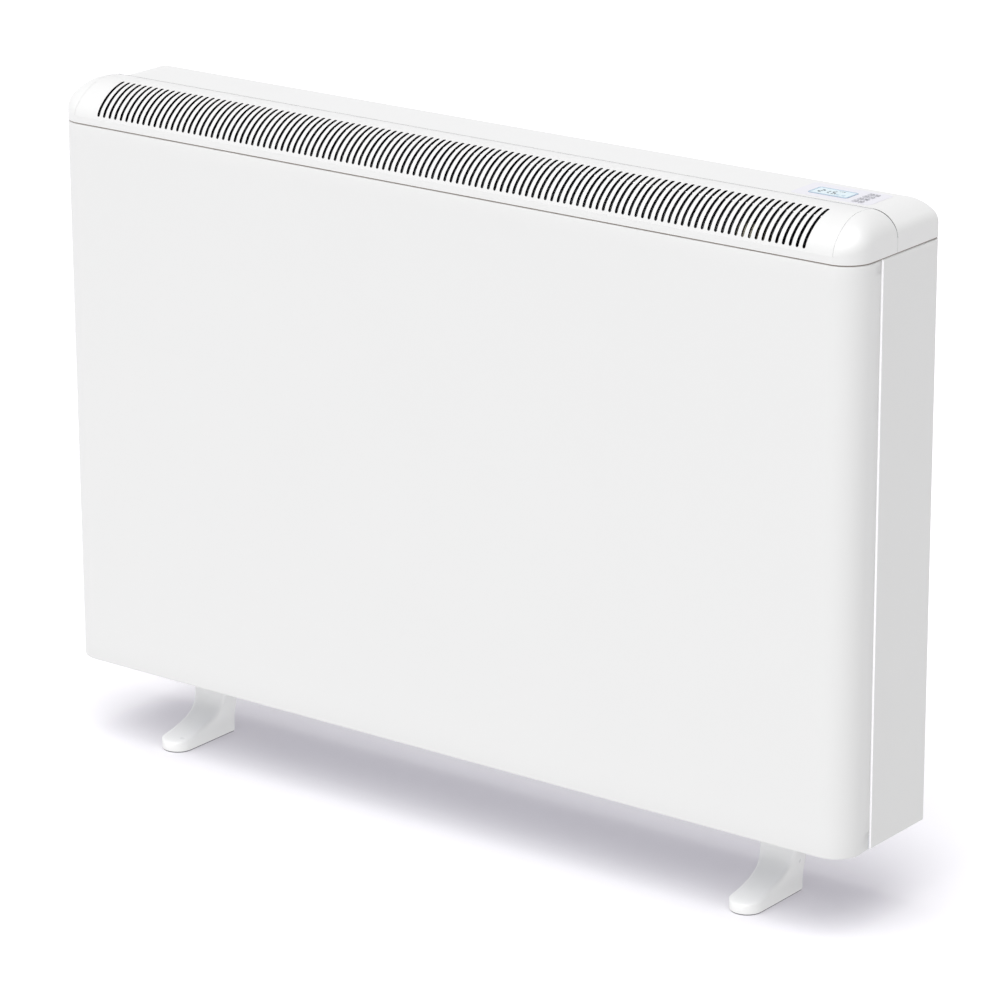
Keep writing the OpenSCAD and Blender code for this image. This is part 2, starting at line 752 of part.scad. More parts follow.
// ---- damper over the core's air outlet ----
ear_places = [
  flap_left - ear_gap - ear_width, flap_left + (flap_right - flap_left) / 3,
  flap_left + (flap_right - flap_left) * 2 / 3, flap_right + ear_gap
];
lug_x = flap_right + ear_gap * 2 + ear_width;
flap_low = box_lid + fit;
module damper_flap() {
  lug_r = min(hinge_rise - 0.7, barrel_r + 0.9);
  color("silver") difference() {
    union() {
      box(flap_left, flap_right, hinge_depth - flap_reach, hinge_depth,
          flap_low, flap_low + flap_sheet);
      rod_x(flap_left, flap_right, hinge_depth, hinge_z, barrel_r);
      box(flap_left, flap_right, hinge_depth - 1, hinge_depth + 1, flap_low, hinge_z);
      // drive lug, joined in front of the right-hand ear
      box(flap_right - eps, lug_x + lug_length, hinge_depth - flap_reach,
          hinge_depth - ear_d - 1, flap_low, flap_low + flap_sheet);
      box(lug_x, lug_x + lug_length, hinge_depth - flap_reach, hinge_depth,
          flap_low, flap_low + flap_sheet);
      rod_x(lug_x, lug_x + lug_length, hinge_depth, hinge_z, lug_r);
    }
    rod_x(flap_left - 1, flap_right + 1, hinge_depth, hinge_z, rod_dia / 2 + play);
    rod_x(lug_x - 1, lug_x + lug_length + 1, hinge_depth, hinge_z, shaft_r);
    for (i = [1, 2])
      box(ear_places[i] - ear_gap, ear_places[i] + ear_width + ear_gap,
          hinge_depth - ear_d - 1, hinge_depth + ear_d + 1, flap_low - 1, hinge_z + 5);
  }
}
module damper_shaft() {
  color("dimgray") rod_x(lug_x, bay_x + 5, hinge_depth, hinge_z, shaft_r);
}
module damper_hinge_rod() {
  color("silver")
    rod_x(ear_places[0] - 2, ear_places[3] + ear_width + 0.3, hinge_depth, hinge_z, rod_dia / 2);
}
module damper_brackets() {
  color("silver") for (x = ear_places) difference() {
    union() {
      box(x, x + ear_width, hinge_depth - ear_d, hinge_depth + ear_d + 4, box_lid, hinge_z + ear_d);
      box(x - 4, x + ear_width + 4, hinge_depth + ear_d, hinge_depth + ear_d + 9,
          box_lid, box_lid + 1.2);
    }
    rod_x(x - 1, x + ear_width + 1, hinge_depth, hinge_z, rod_dia / 2 + 0.02);
  }
}
module damper_motor() {
  color("beige") difference() {
    union() {
      rod_x(bay_x, bay_x + motor_length, hinge_depth, hinge_z, motor_r);
      box(bay_x, bay_x + 1.5, hinge_depth - motor_r - 3, hinge_depth + motor_r + 3,
          hinge_z - 5, hinge_z + 5);
    }
    rod_x(bay_x - 1, bay_x + 7, hinge_depth, hinge_z, shaft_r + 0.1);
  }
}

// ---- control panel ----
module display_window() {
  w = window_width / 2;
  h = window_depth / 2;
  color("lightblue") {
    box(window_x - w, window_x + w, panel_mid - h, panel_mid + h, flat_z - 3.4, flat_z - 0.2);
    box(window_x - w - rim, window_x + w + rim, panel_mid - h - rim, panel_mid + h + rim,
        flat_z - 3.4, flat_under - 0.2);
  }
}
module display_module() {
  w = window_width / 2 - 1;
  h = window_depth / 2 - 1;
  color("darkslategray")
    box(window_x - w, window_x + w, panel_mid - h, panel_mid + h, board_top, flat_z - 3.6);
}
module control_board() {
  color("darkgreen") difference() {
    union() {
      box(board_left, board_right, board_front - 6, board_back + 4,
          board_top - board_thick, board_top);
      for (i = [0:7]) {
        x = keys_x + (floor(i / 4) - 0.5) * key_spread;
        d = panel_mid + (1.5 - i % 4) * key_pitch;
        box(x - 2.6, x + 2.6, d - 3, d + 3, board_top - eps, board_top + switch_height);
      }
    }
    for (p = post_places)
      rod_z(p[0], p[1], board_top - board_thick - 1, board_top + 1, 1.2 + play);
  }
}
key_flange = 1;
key_gap = 0.2;
// a key cap with a retaining flange below the flat top and a stem to its switch
module key(i) {
  x = keys_x + (floor(i / 4) - 0.5) * key_spread;
  d = panel_mid + (1.5 - i % 4) * key_pitch;
  w = key_width / 2;
  h = key_depth / 2;
  flange_top = flat_under - key_gap;
  color("lightgray") {
    box(x - w, x + w, d - h, d + h, flange_top - key_flange, flat_z + key_proud);
    box(x - w - 0.7, x + w + 0.7, d - h - 0.9, d + h + 0.9, flange_top - key_flange, flange_top);
    box(x - 1.5, x + 1.5, d - 1.5, d + 1.5,
        board_top + switch_height + key_travel + 0.1, flange_top);
  }
}

// ---- control bay ----
relay_d = back_inner - 15;
relay_x = bay_x + relay_gap;
relay_z = foot_height + relay_rise;
module relay_board() {
  x0 = relay_x;
  x1 = x0 + relay_width;
  z0 = relay_z;
  z1 = z0 + relay_height;
  color("darkgreen") {
    box(x0, x1, relay_d - 1.6, relay_d, z0, z1);
    for (x = [x0 + 6, x1 - 6], z = [z0 + 6, z1 - 6]) rod_y(x, relay_d - eps, back_inner, z, 3);
    for (k = [0:2]) box(x0 + 8, x0 + 34, relay_d - 20, relay_d - 1, z0 + 16 + k * 48, z0 + 48 + k * 48);
    box(x0 + 46, x0 + 84, relay_d - 26, relay_d - 1, z0 + 20, z0 + 62);
    box(x1 - 22, x1 - 8, relay_d - 10, relay_d - 1, z1 - 20, z1 - 2);
    rod_y(x0 + 56, relay_d - 18, relay_d - 1, z0 + 92, 7);
    rod_y(x0 + 74, relay_d - 18, relay_d - 1, z0 + 92, 7);
  }
}
module terminal_block() {
  d0 = 48;
  step = 12;
  color("ivory") difference() {
    box(bay_x, bay_x + 18, d0, d0 + 5 * step + 4, terminal_z, terminal_z + 20);
    for (k = [0:4], d = [d0 + 8 + k * step]) {
      rod_z(bay_x + 12, d, terminal_z + 8, terminal_z + 21, 2.6);
      rod_x(bay_x + 8, bay_x + 19, d, terminal_z + 5, 2.2);
    }
  }
}
module thermal_cutout() {
  color("black") difference() {
    union() {
      rod_x(bay_x, bay_x + cutout_length, reset_d, reset_z, cutout_r);
      box(bay_x, bay_x + 1, reset_d - cutout_r - 6, reset_d + cutout_r + 6,
          reset_z - 5, reset_z + 5);
    }
    rod_x(bay_x + cutout_length - 7, bay_x + cutout_length + 1, reset_d, reset_z, reset_r + play);
  }
}
module reset_button() {
  color("red")
    rod_x(bay_x + cutout_length - 7 + reset_travel + 0.2, bay_x + cutout_length + reset_proud,
          reset_d, reset_z, reset_r);
}
module core_sensor() {
  d = (passage_front + core_front) / 2;
  color("silver") {
    rod_x(core_right - 70, bay_x + 2, d, sensor_z, sensor_r);
    rod_x(bay_x, bay_x + 7, d, sensor_z, sensor_r + 2);
  }
}
module wiring_loom() {
  top_z = leg_z(brick_rows - 1, 1);
  low_z = terminal_z + 10;
  plug_x = relay_x + relay_width - 15;
  plug_z = relay_z + relay_height - 12;
  color("firebrick") {
    rod_z(trunk_x, core_mid, low_z, max(top_z, reset_z - 8) + 4, trunk_r);
    for (row = [0:brick_rows - 1], leg = [0, 1])
      lead([[trunk_x, core_mid, leg_z(row, leg)], [stud_end, core_mid, leg_z(row, leg)]], lead_r);
    lead([[trunk_x, core_mid, low_z + 2], [bay_x + 18, core_mid, low_z + 2]], 3);
    lead([[trunk_x, core_mid, relay_z + 40], [trunk_x, relay_d - 20, relay_z + 40]], 3);
    lead([[trunk_x, core_mid, reset_z - 8], [trunk_x - 14, reset_d, reset_z - 8],
          [bay_x + cutout_length, reset_d, reset_z - 8]], lead_r);
    lead([[trunk_x, core_mid, reset_z - 4], [trunk_x - 6, hinge_depth + 6, hinge_z],
          [bay_x + motor_length, hinge_depth + 6, hinge_z]], lead_r);
    // lead from the relay board up to the control board
    lead([[plug_x, relay_d - 5, plug_z + 10], [plug_x, relay_d - 5, board_top - 30],
          [window_x + 20, panel_mid, board_top - board_thick - 2.15]], 1.8);
  }
}
module supply_glands() {
  color("black") for (x = gland_x) difference() {
    union() {
      translate([x, yf(gland_d), tray_bottom - 8]) cylinder(h = 8, r = gland_nut_r, $fn = 6);
      rod_z(x, gland_d, tray_bottom - 18, tray_bottom - 7, gland_thread_r + 1.2);
      rod_z(x, gland_d, tray_bottom - 1, tray_top + 9, gland_thread_r);
      translate([x, yf(gland_d), tray_top]) cylinder(h = 4.5, r = gland_nut_r, $fn = 6);
    }
    rod_z(x, gland_d, tray_bottom - 20, tray_top + 20, gland_bore / 2);
  }
}

// ---- feet ----
// the boot is lofted from level slices; each pair is how far a slice's front edge
// has moved from the toe's tip to the shank, and how far up the slice is
instep = [
  [0, 0], [0, 0.053], [0.006, 0.085], [0.03, 0.112], [0.08, 0.13], [0.18, 0.146], [0.3, 0.166],
  [0.42, 0.191], [0.54, 0.219], [0.66, 0.25], [0.77, 0.288], [0.86, 0.334], [0.93, 0.395],
  [0.97, 0.465], [0.99, 0.545], [1, 0.66], [1, 1]
];
instep_last = len(instep) - 1;
foot_rise = tray_bottom - 1 - pad_height;
function instep_point(k) = [
  toe_front + instep[k][0] * (shank_front - toe_front), pad_height + instep[k][1] * foot_rise
];
// sine of the instep's slope at slice k
function steepness(k) =
  let (v = instep_point(min(k + 1, instep_last)) - instep_point(max(k - 1, 0))) v[1] / norm(v);
function smooth(t) = t * t * (3 - 2 * t);
function foot_slice(k) = let (
  f = instep_point(k)[0], z = instep_point(k)[1], r = toe_width / 2,
  w = r + (shank_width - toe_width) / 2 * smooth(min(1, max(0, (z - 14) / (foot_height * 0.42)))),
  round_depth = foot_edge / max(0.25, steepness(k))
) concat(
  [[-w, yf(foot_back), z]],
  [for (i = [0:16]) let (
    a = -90 + 180 * i / 16, u = max(0, w * abs(sin(a)) - w + foot_edge) / foot_edge
  ) [
    w * sin(a),
    yf(max(toe_front + r * (1 - cos(a)), f + round_depth * (1 - sqrt(1 - u * u)))), z
  ]],
  [[w, yf(foot_back), z]]
);
module foot(s) {
  color("white") translate([s * foot_x, 0, 0]) difference() {
    union() {
      loft([for (k = [0:instep_last]) foot_slice(k)]);
      box(-foot_plate_half, foot_plate_half, foot_plate_front, foot_plate_rear,
          tray_bottom - foot_plate_thick - 1.5, tray_bottom);
    }
    for (t = [-1, 1])
      rod_z(t * bolt_x, bolt_d, foot_height - 20, tray_bottom + 1, bolt_r + play);
  }
}
module foot_pads() {
  inset = 1;
  color("dimgray") for (s = [-1, 1]) translate([s * foot_x, 0, 0])
    linear_extrude(pad_height) {
      r = toe_width / 2 - inset;
      translate([-r, yf(toe_front + inset) + r])
        square([2 * r, foot_back - toe_front - 2 * inset - r]);
      translate([0, yf(toe_front + inset) + r]) circle(r);
    }
}
module foot_bolts() {
  head_top = tray_bottom - foot_plate_thick - 1.5;
  color("silver") for (s = [-1, 1], t = [-1, 1]) {
    x = s * foot_x + t * bolt_x;
    rod_z(x, bolt_d, head_top - eps, tray_top - 0.1, bolt_r);
    translate([x, yf(bolt_d), head_top - bolt_head]) cylinder(h = bolt_head, r = bolt_head_r, $fn = 6);
  }
}

// ---- screws ----
// a pan-head screw: its head stands on z = 0 and its shank runs down
module screw(shank) {
  translate([0, 0, -shank]) cylinder(h = shank + eps, r = screw_r);
  difference() {
    cylinder(h = head_height, r = head_r);
    translate([0, 0, head_height - 1]) for (a = [0, 90]) rotate(a)
      translate([-0.5, -head_r * 0.55, 0]) cube([1, head_r * 1.1, 2]);
  }
}
module screw_from_rear(x, d, z, shank) {
  translate([x, yf(d), z]) rotate([-90, 0, 0]) screw(shank);
}
module screw_from_below(x, d, z, shank) {
  translate([x, yf(d), z]) rotate([180, 0, 0]) screw(shank);
}
module casing_screws() {
  color("silver") {
    for (x = rear_x) screw_from_rear(x, cover_rear, cover_screw_z, 8);
    for (s = [-1, 1], z = side_screw_z)
      screw_from_rear(s * side_screw_x, casing_depth, z, 8);
    for (x = tab_x) {
      screw_from_rear(x, back_face, tray_screw_z, sheet * 2 + fit + 0.1);
      screw_from_below(x, tab_screw_d, foot_height, 7);
    }
    for (s = [-1, 1], d = side_screw_d) screw_from_below(s * side_screw_x, d, foot_height, 7);
  }
}
module board_screws() {
  color("silver") for (p = post_places) {
    rod_z(p[0], p[1], board_top - board_thick - eps, board_top + 6, 1.2);
    rod_z(p[0], p[1], board_top - board_thick - 2, board_top - board_thick, 2.6);
  }
}

front_panel();
side_panel(-1);  // left_side_panel
side_panel(1);  // right_side_panel
back_panel();
base_tray();
top_cover();
outlet_grille();
inner_front_panel();
inner_left_panel();
inner_right_panel();
inner_top_panel();
insulation_front();
insulation_rear();
insulation_left();
insulation_right();
insulation_base();
insulation_top();
for (row = [0:node_rows - 1]) {
  brick_row(row, 0);
  brick_row(row, 1);
  heating_element(row);
}
boost_element();
boost_brackets();
damper_flap();
damper_shaft();
damper_hinge_rod();
damper_brackets();
damper_motor();
display_window();
display_module();
control_board();
for (i = [0:7]) key(i);
relay_board();
terminal_block();
thermal_cutout();
reset_button();
core_sensor();
wiring_loom();
supply_glands();
foot(-1);  // left_foot
foot(1);  // right_foot
foot_pads();
foot_bolts();
casing_screws();
board_screws();
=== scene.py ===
import math

import bmesh
import bpy
from mathutils import Matrix, Vector


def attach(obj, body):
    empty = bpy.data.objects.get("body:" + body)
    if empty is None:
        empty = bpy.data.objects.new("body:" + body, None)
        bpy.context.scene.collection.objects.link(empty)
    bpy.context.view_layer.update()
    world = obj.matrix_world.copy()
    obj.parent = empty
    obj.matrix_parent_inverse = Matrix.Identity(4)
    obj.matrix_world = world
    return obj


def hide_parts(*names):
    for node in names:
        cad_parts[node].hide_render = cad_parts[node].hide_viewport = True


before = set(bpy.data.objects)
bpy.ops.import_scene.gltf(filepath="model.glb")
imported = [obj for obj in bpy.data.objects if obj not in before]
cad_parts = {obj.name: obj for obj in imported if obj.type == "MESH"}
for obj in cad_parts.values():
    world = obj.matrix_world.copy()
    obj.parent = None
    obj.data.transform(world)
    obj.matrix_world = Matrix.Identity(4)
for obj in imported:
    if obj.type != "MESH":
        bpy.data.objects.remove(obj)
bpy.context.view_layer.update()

# Sizes of the heater in millimetres, and turns in degrees. Depths are measured back from the
# front face.
HALF_WIDTH = 510
DEPTH = 148
TOP = 740
# the frame's origin lies this far behind the front face
ORIGIN_DEPTH = 75
CASING_FOOT = 88
PANEL_TOP = 697.4
CORNER = 30
SHEET = 1.2
FOLD_RADIUS = 2
FOLD_DEPTH = 3
# the front panel's side returns: how deep, how far they lean in, and their rear flanges
RETURN = 48
RETURN_LEAN = 1.6
FLANGE = 7
FLANGE_FOOT = 108
FLANGE_TOP = PANEL_TOP - 14
# the gap between a side return and its side sheet, and how far the dark strip of painted shade in
# the cover joint stands back
SIDE_GAP = 0.25
JOINT_SHADE_INSET = 0.8
# the top unit: its lip, its flat rear part, and the arcs of its shoulders
COVER_FOOT = 698.6
LIP_TOP = 706
FLAT_TOP = 734
FLAT_FRONT = 74
SHOULDER_FOOT = 713
SMALL_ARC, SMALL_TURN = 14.835, 56
BIG_ARC = 50.896
COVER_WALL = 2
# the width of the joint behind a dome, a band of painted shade, at its foot, and how much wider it
# is at its top
JOINT_FOOT, JOINT_GROWTH = 0.4, 1.4
# the grille: its half width, the lean and gap of its ends, where it ends at the rear, and the
# arcs of its outline
GRILLE_HALF = 481
GRILLE_WALL = 2.5
END_LEAN = 3
END_GAP = 0.15
DOME_IN = 481.3
SEAM_FRONT = 73.2
SEAM_HEIGHT = 737.4
NOSE_ARC, NOSE_START, NOSE_TURN = 24, 8, 32
NOSE_DEPTH, NOSE_HEIGHT = 23.766, 702.66
CROWN_ARC, CROWN_TURN = 61.345, 50
CROWN_DEPTH, CROWN_HEIGHT = 52.374, 678.655
FALL_ARC = 100
FALL_HEIGHT = 640
SLOT_COUNT, SLOT_PITCH, SLOT_WIDTH = 115, 7.9, 3.4
SLOT_LOW_TURN, SLOT_HIGH_TURN = 8, 41.56
# the controls
PANEL_DEPTH = 114
WINDOW_X, WINDOW_WIDTH, WINDOW_LENGTH, WINDOW_TOP = 409, 46, 24, 734.55
KEYS_X, KEY_SPREAD, KEY_STEP = 447, 6.8, 9.6
KEY_COUNT, KEY_WIDTH, KEY_LENGTH, KEY_TOP = 8, 5, 6.4, 734.9
CONTROL_FOOT = 731.6
LABEL_X, LABEL_DEPTH, LABEL_WIDTH, LABEL_LENGTH = 418, 115.5, 92, 46
LABEL_FOOT, LABEL_TOP = 733.9, 734.25
BAR_FOOT, BAR_TOP = 734.4, 734.47
MARK_FOOT, MARK_TOP = 734.8, 735.0
# the feet: where they stand, how high and deep they are, and how wide at toe and shank
FOOT_X, FOOT_BASE, FOOT_TOP = 380, 1, 87
TOE_DEPTH, HEEL_DEPTH, INSTEP_RUN = 5, 98, 72
TOE_HALF, SHANK_FLARE, FLARE_FOOT, FLARE_RUN = 18, 5, 14, 37


def at(x, depth, z):
    """A place given in millimetres, with its depth behind the front face."""
    return Vector((x, depth - ORIGIN_DEPTH, z)) / 1000


def mm(place):
    """The millimetres of a place, as at() takes them."""
    return Vector((place.x * 1000, place.y * 1000 + ORIGIN_DEPTH, place.z * 1000))


# ---- modelling steps ----
def to_objects():
    if bpy.context.mode != "OBJECT":
        bpy.ops.object.mode_set(mode="OBJECT")
    bpy.ops.object.select_all(action="DESELECT")


def take(*pieces):
    """Selects only these pieces, the last one active."""
    to_objects()
    for piece in pieces:
        piece.select_set(True)
        bpy.context.view_layer.objects.active = piece


def edit(piece):
    take(piece)
    bpy.ops.object.mode_set(mode="EDIT")


def start(name, primitive, scale=(1, 1, 1), **how):
    """Adds a primitive with nothing else selected, and puts its place into its mesh."""
    to_objects()
    primitive(**how)
    piece = bpy.context.object
    piece.scale = scale
    piece.name = piece.data.name = name
    bpy.ops.object.transform_apply(location=True, rotation=True, scale=True)
    return piece


def block(name, low, high):
    low, high = at(*low), at(*high)
    return start(name, bpy.ops.mesh.primitive_cube_add, size=1,
                 location=(low + high) / 2, scale=high - low)


def pick(kind, test):
    """In edit mode, selects the vertices, edges or faces that pass a test of their place in
    millimetres and of their direction or normal."""
    bpy.ops.mesh.select_mode(type=kind)
    bpy.ops.mesh.select_all(action="DESELECT")
    mesh = bpy.context.object.data
    shape = bmesh.from_edit_mesh(mesh)
    parts = {"VERT": shape.verts, "EDGE": shape.edges, "FACE": shape.faces}[kind]
    for part in parts:
        if kind == "VERT":
            place, way = part.co, part.normal
        elif kind == "EDGE":
            one, two = (v.co for v in part.verts)
            place, way = (one + two) / 2, (two - one).normalized()
        else:
            place, way = part.calc_center_median(), part.normal
        if test(mm(place), way):
            part.select_set(True)
    shape.select_flush_mode()
    bmesh.update_edit_mesh(mesh)


def extrude(x=0, depth=0, z=0):
    bpy.ops.mesh.extrude_region_move(
        TRANSFORM_OT_translate={"value": (x / 1000, depth / 1000, z / 1000)})


def spin(x, depth, z, axis, turn, steps):
    bpy.ops.mesh.spin(steps=steps, angle=math.radians(turn), center=at(x, depth, z), axis=axis)


def bevel(width, segments, kind="EDGES"):
    bpy.ops.mesh.bevel(offset=width / 1000, segments=segments, affect=kind, clamp_overlap=False)


def cut(place, normal):
    bpy.ops.mesh.select_all(action="SELECT")
    bpy.ops.mesh.bisect(plane_co=place, plane_no=normal)


def modify(piece, kind, **settings):
    """Adds a modifier to a piece and applies it."""
    take(piece)
    made = piece.modifiers.new(kind.title(), kind)
    for name, value in settings.items():
        setattr(made, name, value)
    bpy.ops.object.modifier_apply(modifier=made.name)


def soften(piece, width, segments, angle):
    """Rounds the edges that turn by more than an angle."""
    modify(piece, "BEVEL", width=width / 1000, segments=segments, limit_method="ANGLE",
           angle_limit=math.radians(angle), use_clamp_overlap=True, harden_normals=False)


def merge(piece, reach=0.01):
    """Merges doubles and turns the faces outwards."""
    edit(piece)
    bpy.ops.mesh.select_all(action="SELECT")
    bpy.ops.mesh.remove_doubles(threshold=reach / 1000)
    bpy.ops.mesh.normals_make_consistent(inside=False)
    to_objects()


def smooth(piece, angle):
    take(piece)
    bpy.ops.object.shade_smooth_by_angle(angle=math.radians(angle))
    to_objects()


def copy(piece, name, mirrored=False, move=(0, 0, 0)):
    """A copy with its own mesh, moved in millimetres or mirrored across the heater."""
    take(piece)
    bpy.ops.object.duplicate()
    made = bpy.context.object
    made.name = made.data.name = name
    if mirrored:
        made.scale = (-1, 1, 1)
    made.location = Vector(move) / 1000
    bpy.ops.object.transform_apply(location=True, rotation=True, scale=True)
    if mirrored:
        edit(made)
        bpy.ops.mesh.select_all(action="SELECT")
        bpy.ops.mesh.flip_normals()
        to_objects()
    return made


def join(*pieces):
    """Joins the pieces into the last one."""
    take(*pieces)
    bpy.ops.object.join()
    to_objects()
    return pieces[-1]


def paint(piece, finish, test=None):
    """Adds a finish to a piece, and gives it to the faces that pass a test."""
    if finish.name not in piece.data.materials:
        piece.data.materials.append(finish)
    if test:
        edit(piece)
        pick("FACE", test)
        piece.active_material_index = piece.data.materials.find(finish.name)
        bpy.ops.object.material_slot_assign()
        to_objects()


def fit(piece, finish, body="heater", stands_for=()):
    """Gives a finished piece its material and its place on the heater."""
    if not piece.data.materials:
        piece.data.materials.append(finish)
    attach(piece, body)
    if stands_for:
        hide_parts(*stands_for)


# ---- shader maths ----
class Wire:
    """A socket of a material; sums on it add Math nodes."""

    def __init__(self, tree, socket):
        self.tree, self.socket = tree, socket

    def sum(self, operation, first, second):
        return node(self.tree, "Math", {"operation": operation}, [first, second])

    def __add__(self, other):
        return self.sum("ADD", self, other)

    def __sub__(self, other):
        return self.sum("SUBTRACT", self, other)

    def __mul__(self, other):
        return self.sum("MULTIPLY", self, other)

    def __lt__(self, other):
        return self.sum("LESS_THAN", self, other)

    def __radd__(self, other):
        return self.sum("ADD", other, self)

    def __rsub__(self, other):
        return self.sum("SUBTRACT", other, self)

    def __rmul__(self, other):
        return self.sum("MULTIPLY", other, self)


def node(tree, kind, settings, values, output=0):
    """Adds a node, sets it, feeds its sockets with values or wires, and returns an output."""
    made = tree.nodes.new("ShaderNode" + kind)
    for name, value in settings.items():
        if name == "stops":
            ramp = made.color_ramp
            while len(ramp.elements) < len(value):
                ramp.elements.new(0.5)
            for stop, (place, colour) in zip(ramp.elements, value):
                stop.position, stop.color = place, colour
        else:
            setattr(made, name, value)
    named = values.items() if isinstance(values, dict) else enumerate(values)
    for name, value in named:
        if isinstance(value, Wire):
            tree.links.new(value.socket, made.inputs[name])
        elif value is not None:
            made.inputs[name].default_value = value
    return Wire(tree, made.outputs[output])


class Finish:
    """A material with one main shader; its fixed numbers sit on the shader's own sockets."""

    def __init__(self, name, **fixed):
        self.material = bpy.data.materials.new(name)
        self.material.use_nodes = True
        self.tree = self.material.node_tree
        self.shader = self.tree.nodes["Principled BSDF"]
        for socket, value in fixed.items():
            self.shader.inputs[socket.replace("_", " ")].default_value = value
        self.place = self.node("TexCoord", {}, {}, "Object")

    def node(self, kind, settings, values, output=0):
        return node(self.tree, kind, settings, values, output)

    def noise(self, scale, detail, rough=0.5, place=None):
        return self.node("TexNoise", {}, {"Vector": place or self.place, "Scale": scale,
                                          "Detail": detail, "Roughness": rough}, "Fac")

    def ramp(self, factor, *stops):
        return self.node("ValToRGB", {"stops": [(p, (*c, 1)) for p, c in stops]}, [factor])

    def mix(self, factor, one, two):
        made = self.tree.nodes.new("ShaderNodeMix")
        made.data_type = "RGBA"
        for name, value in (("Factor_Float", factor), ("A_Color", one), ("B_Color", two)):
            socket = next(s for s in made.inputs if s.identifier == name)
            if isinstance(value, Wire):
                self.tree.links.new(value.socket, socket)
            else:
                socket.default_value = value if name == "Factor_Float" else (*value, 1)
        return Wire(self.tree, next(s for s in made.outputs if s.identifier == "Result_Color"))

    def feed(self, socket, wire):
        self.tree.links.new(wire.socket, self.shader.inputs[socket])

    def bump(self, height, strength, distance):
        self.feed("Normal", self.node("Bump", {}, {"Strength": strength, "Distance": distance,
                                                   "Height": height}))


def powder_coat(name, colour):
    """Baked powder coat: a fine orange peel and a faint cloudiness."""
    coat = Finish(name, Coat_Weight=0.08, Coat_Roughness=0.25, Specular_IOR_Level=0.35)
    cloud = coat.noise(6, 3)
    shade = tuple(c * 0.985 for c in colour)
    coat.feed("Base Color", coat.mix(cloud, shade, colour))
    coat.feed("Roughness", 0.39 + 0.06 * coat.noise(60, 2))
    coat.bump(coat.noise(900, 2, 0.4), 0.12, 0.0002)
    return coat.material


def moulded(name, colour, rough=0.3, coat_weight=0.2):
    """Injection-moulded plastic with a fine satin grain."""
    skin = Finish(name, Coat_Weight=coat_weight, Coat_Roughness=0.15, IOR=1.5)
    shade = tuple(c * 0.985 for c in colour)
    skin.feed("Base Color", skin.mix(skin.noise(9, 2), shade, colour))
    skin.feed("Roughness", rough - 0.015 + 0.03 * skin.noise(30, 2))
    skin.bump(skin.noise(1600, 2, 0.4), 0.05, 0.0001)
    return skin.material


def galvanised_sheet():
    """Zinc-coated sheet with its spangle."""
    zinc = Finish("galvanised sheet", Metallic=0.9)
    spangle = zinc.node("TexVoronoi", {"feature": "F1"}, {"Vector": zinc.place, "Scale": 170},
                        "Color")
    tone = zinc.node("SeparateColor", {}, [spangle], "Red")
    zinc.feed("Base Color", zinc.ramp(tone, (0, (0.5, 0.52, 0.54)), (1, (0.64, 0.66, 0.68))))
    zinc.feed("Roughness", 0.34 + 0.2 * tone)
    zinc.bump(zinc.noise(700, 2), 0.1, 0.0002)
    return zinc.material


def fibre_board():
    """Pressed mineral wool with loose fibres on its face."""
    board = Finish("mineral insulation", Sheen_Weight=0.2)
    fibre = board.noise(420, 6, 0.75)
    board.feed("Base Color", board.ramp(fibre, (0.3, (0.6, 0.55, 0.45)),
                                        (0.7, (0.82, 0.78, 0.68))))
    board.feed("Roughness", 0.85 + 0.1 * fibre)
    board.bump(fibre, 0.6, 0.0008)
    return board.material


def storage_brick():
    """Dense pressed ore brick with dark speckles."""
    ore = Finish("storage brick")
    grit = ore.noise(520, 5, 0.7)
    speck = ore.node("TexVoronoi", {}, {"Vector": ore.place, "Scale": 380}, "Distance")
    ore.feed("Base Color", ore.mix(speck < 0.22, (0.13, 0.1, 0.09), (0.035, 0.03, 0.03)))
    ore.feed("Roughness", 0.7 + 0.25 * grit)
    ore.bump(grit, 0.5, 0.0006)
    return ore.material


def drawn_metal(name, colour, rough, grain=(900, 60, 60)):
    """Metal with fine drawing or turning lines."""
    metal = Finish(name, Metallic=1.0)
    along = metal.node("Mapping", {}, {"Vector": metal.place, "Scale": grain})
    line = metal.noise(1, 3, 0.6, along)
    dark = tuple(c * 0.82 for c in colour)
    metal.feed("Base Color", metal.mix(line, dark, colour))
    metal.feed("Roughness", rough - 0.08 + 0.2 * line)
    metal.bump(line, 0.12, 0.0001)
    return metal.material


def circuit_board():
    """Solder resist over fine copper tracks."""
    board = Finish("circuit board", Coat_Weight=0.4, Coat_Roughness=0.1)
    track = board.node("TexBrick", {"offset": 0.37, "squash": 0.6}, {
        "Vector": board.place, "Scale": 210, "Mortar Size": 0.05, "Brick Width": 0.9,
        "Row Height": 0.3}, "Fac")
    board.feed("Base Color", board.mix(track, (0.012, 0.12, 0.045), (0.03, 0.24, 0.09)))
    board.feed("Roughness", 0.28 + 0.2 * board.noise(300, 2))
    board.bump(track, 0.3, 0.0001)
    return board.material


def screen():
    """A reflective liquid-crystal screen with its fine cell grid."""
    glass = Finish("display screen", Coat_Weight=1.0, Coat_Roughness=0.03, Roughness=0.25)
    cells = glass.node("TexChecker", {}, {"Vector": glass.place, "Scale": 2500,
                                          "Color1": (0.60, 0.78, 0.86, 1),
                                          "Color2": (0.66, 0.83, 0.90, 1)})
    glass.feed("Base Color", cells)
    return glass.material


def rubber(name, colour, rough, shine=0.5):
    """A dull, slightly dusty surface: rubber, nylon and print."""
    skin = Finish(name, Specular_IOR_Level=shine)
    dust = skin.noise(260, 4, 0.65)
    skin.feed("Base Color", skin.mix(dust, tuple(c * 0.85 for c in colour), colour))
    skin.feed("Roughness", rough - 0.08 + 0.16 * dust)
    skin.bump(dust, 0.2, 0.0002)
    return skin.material


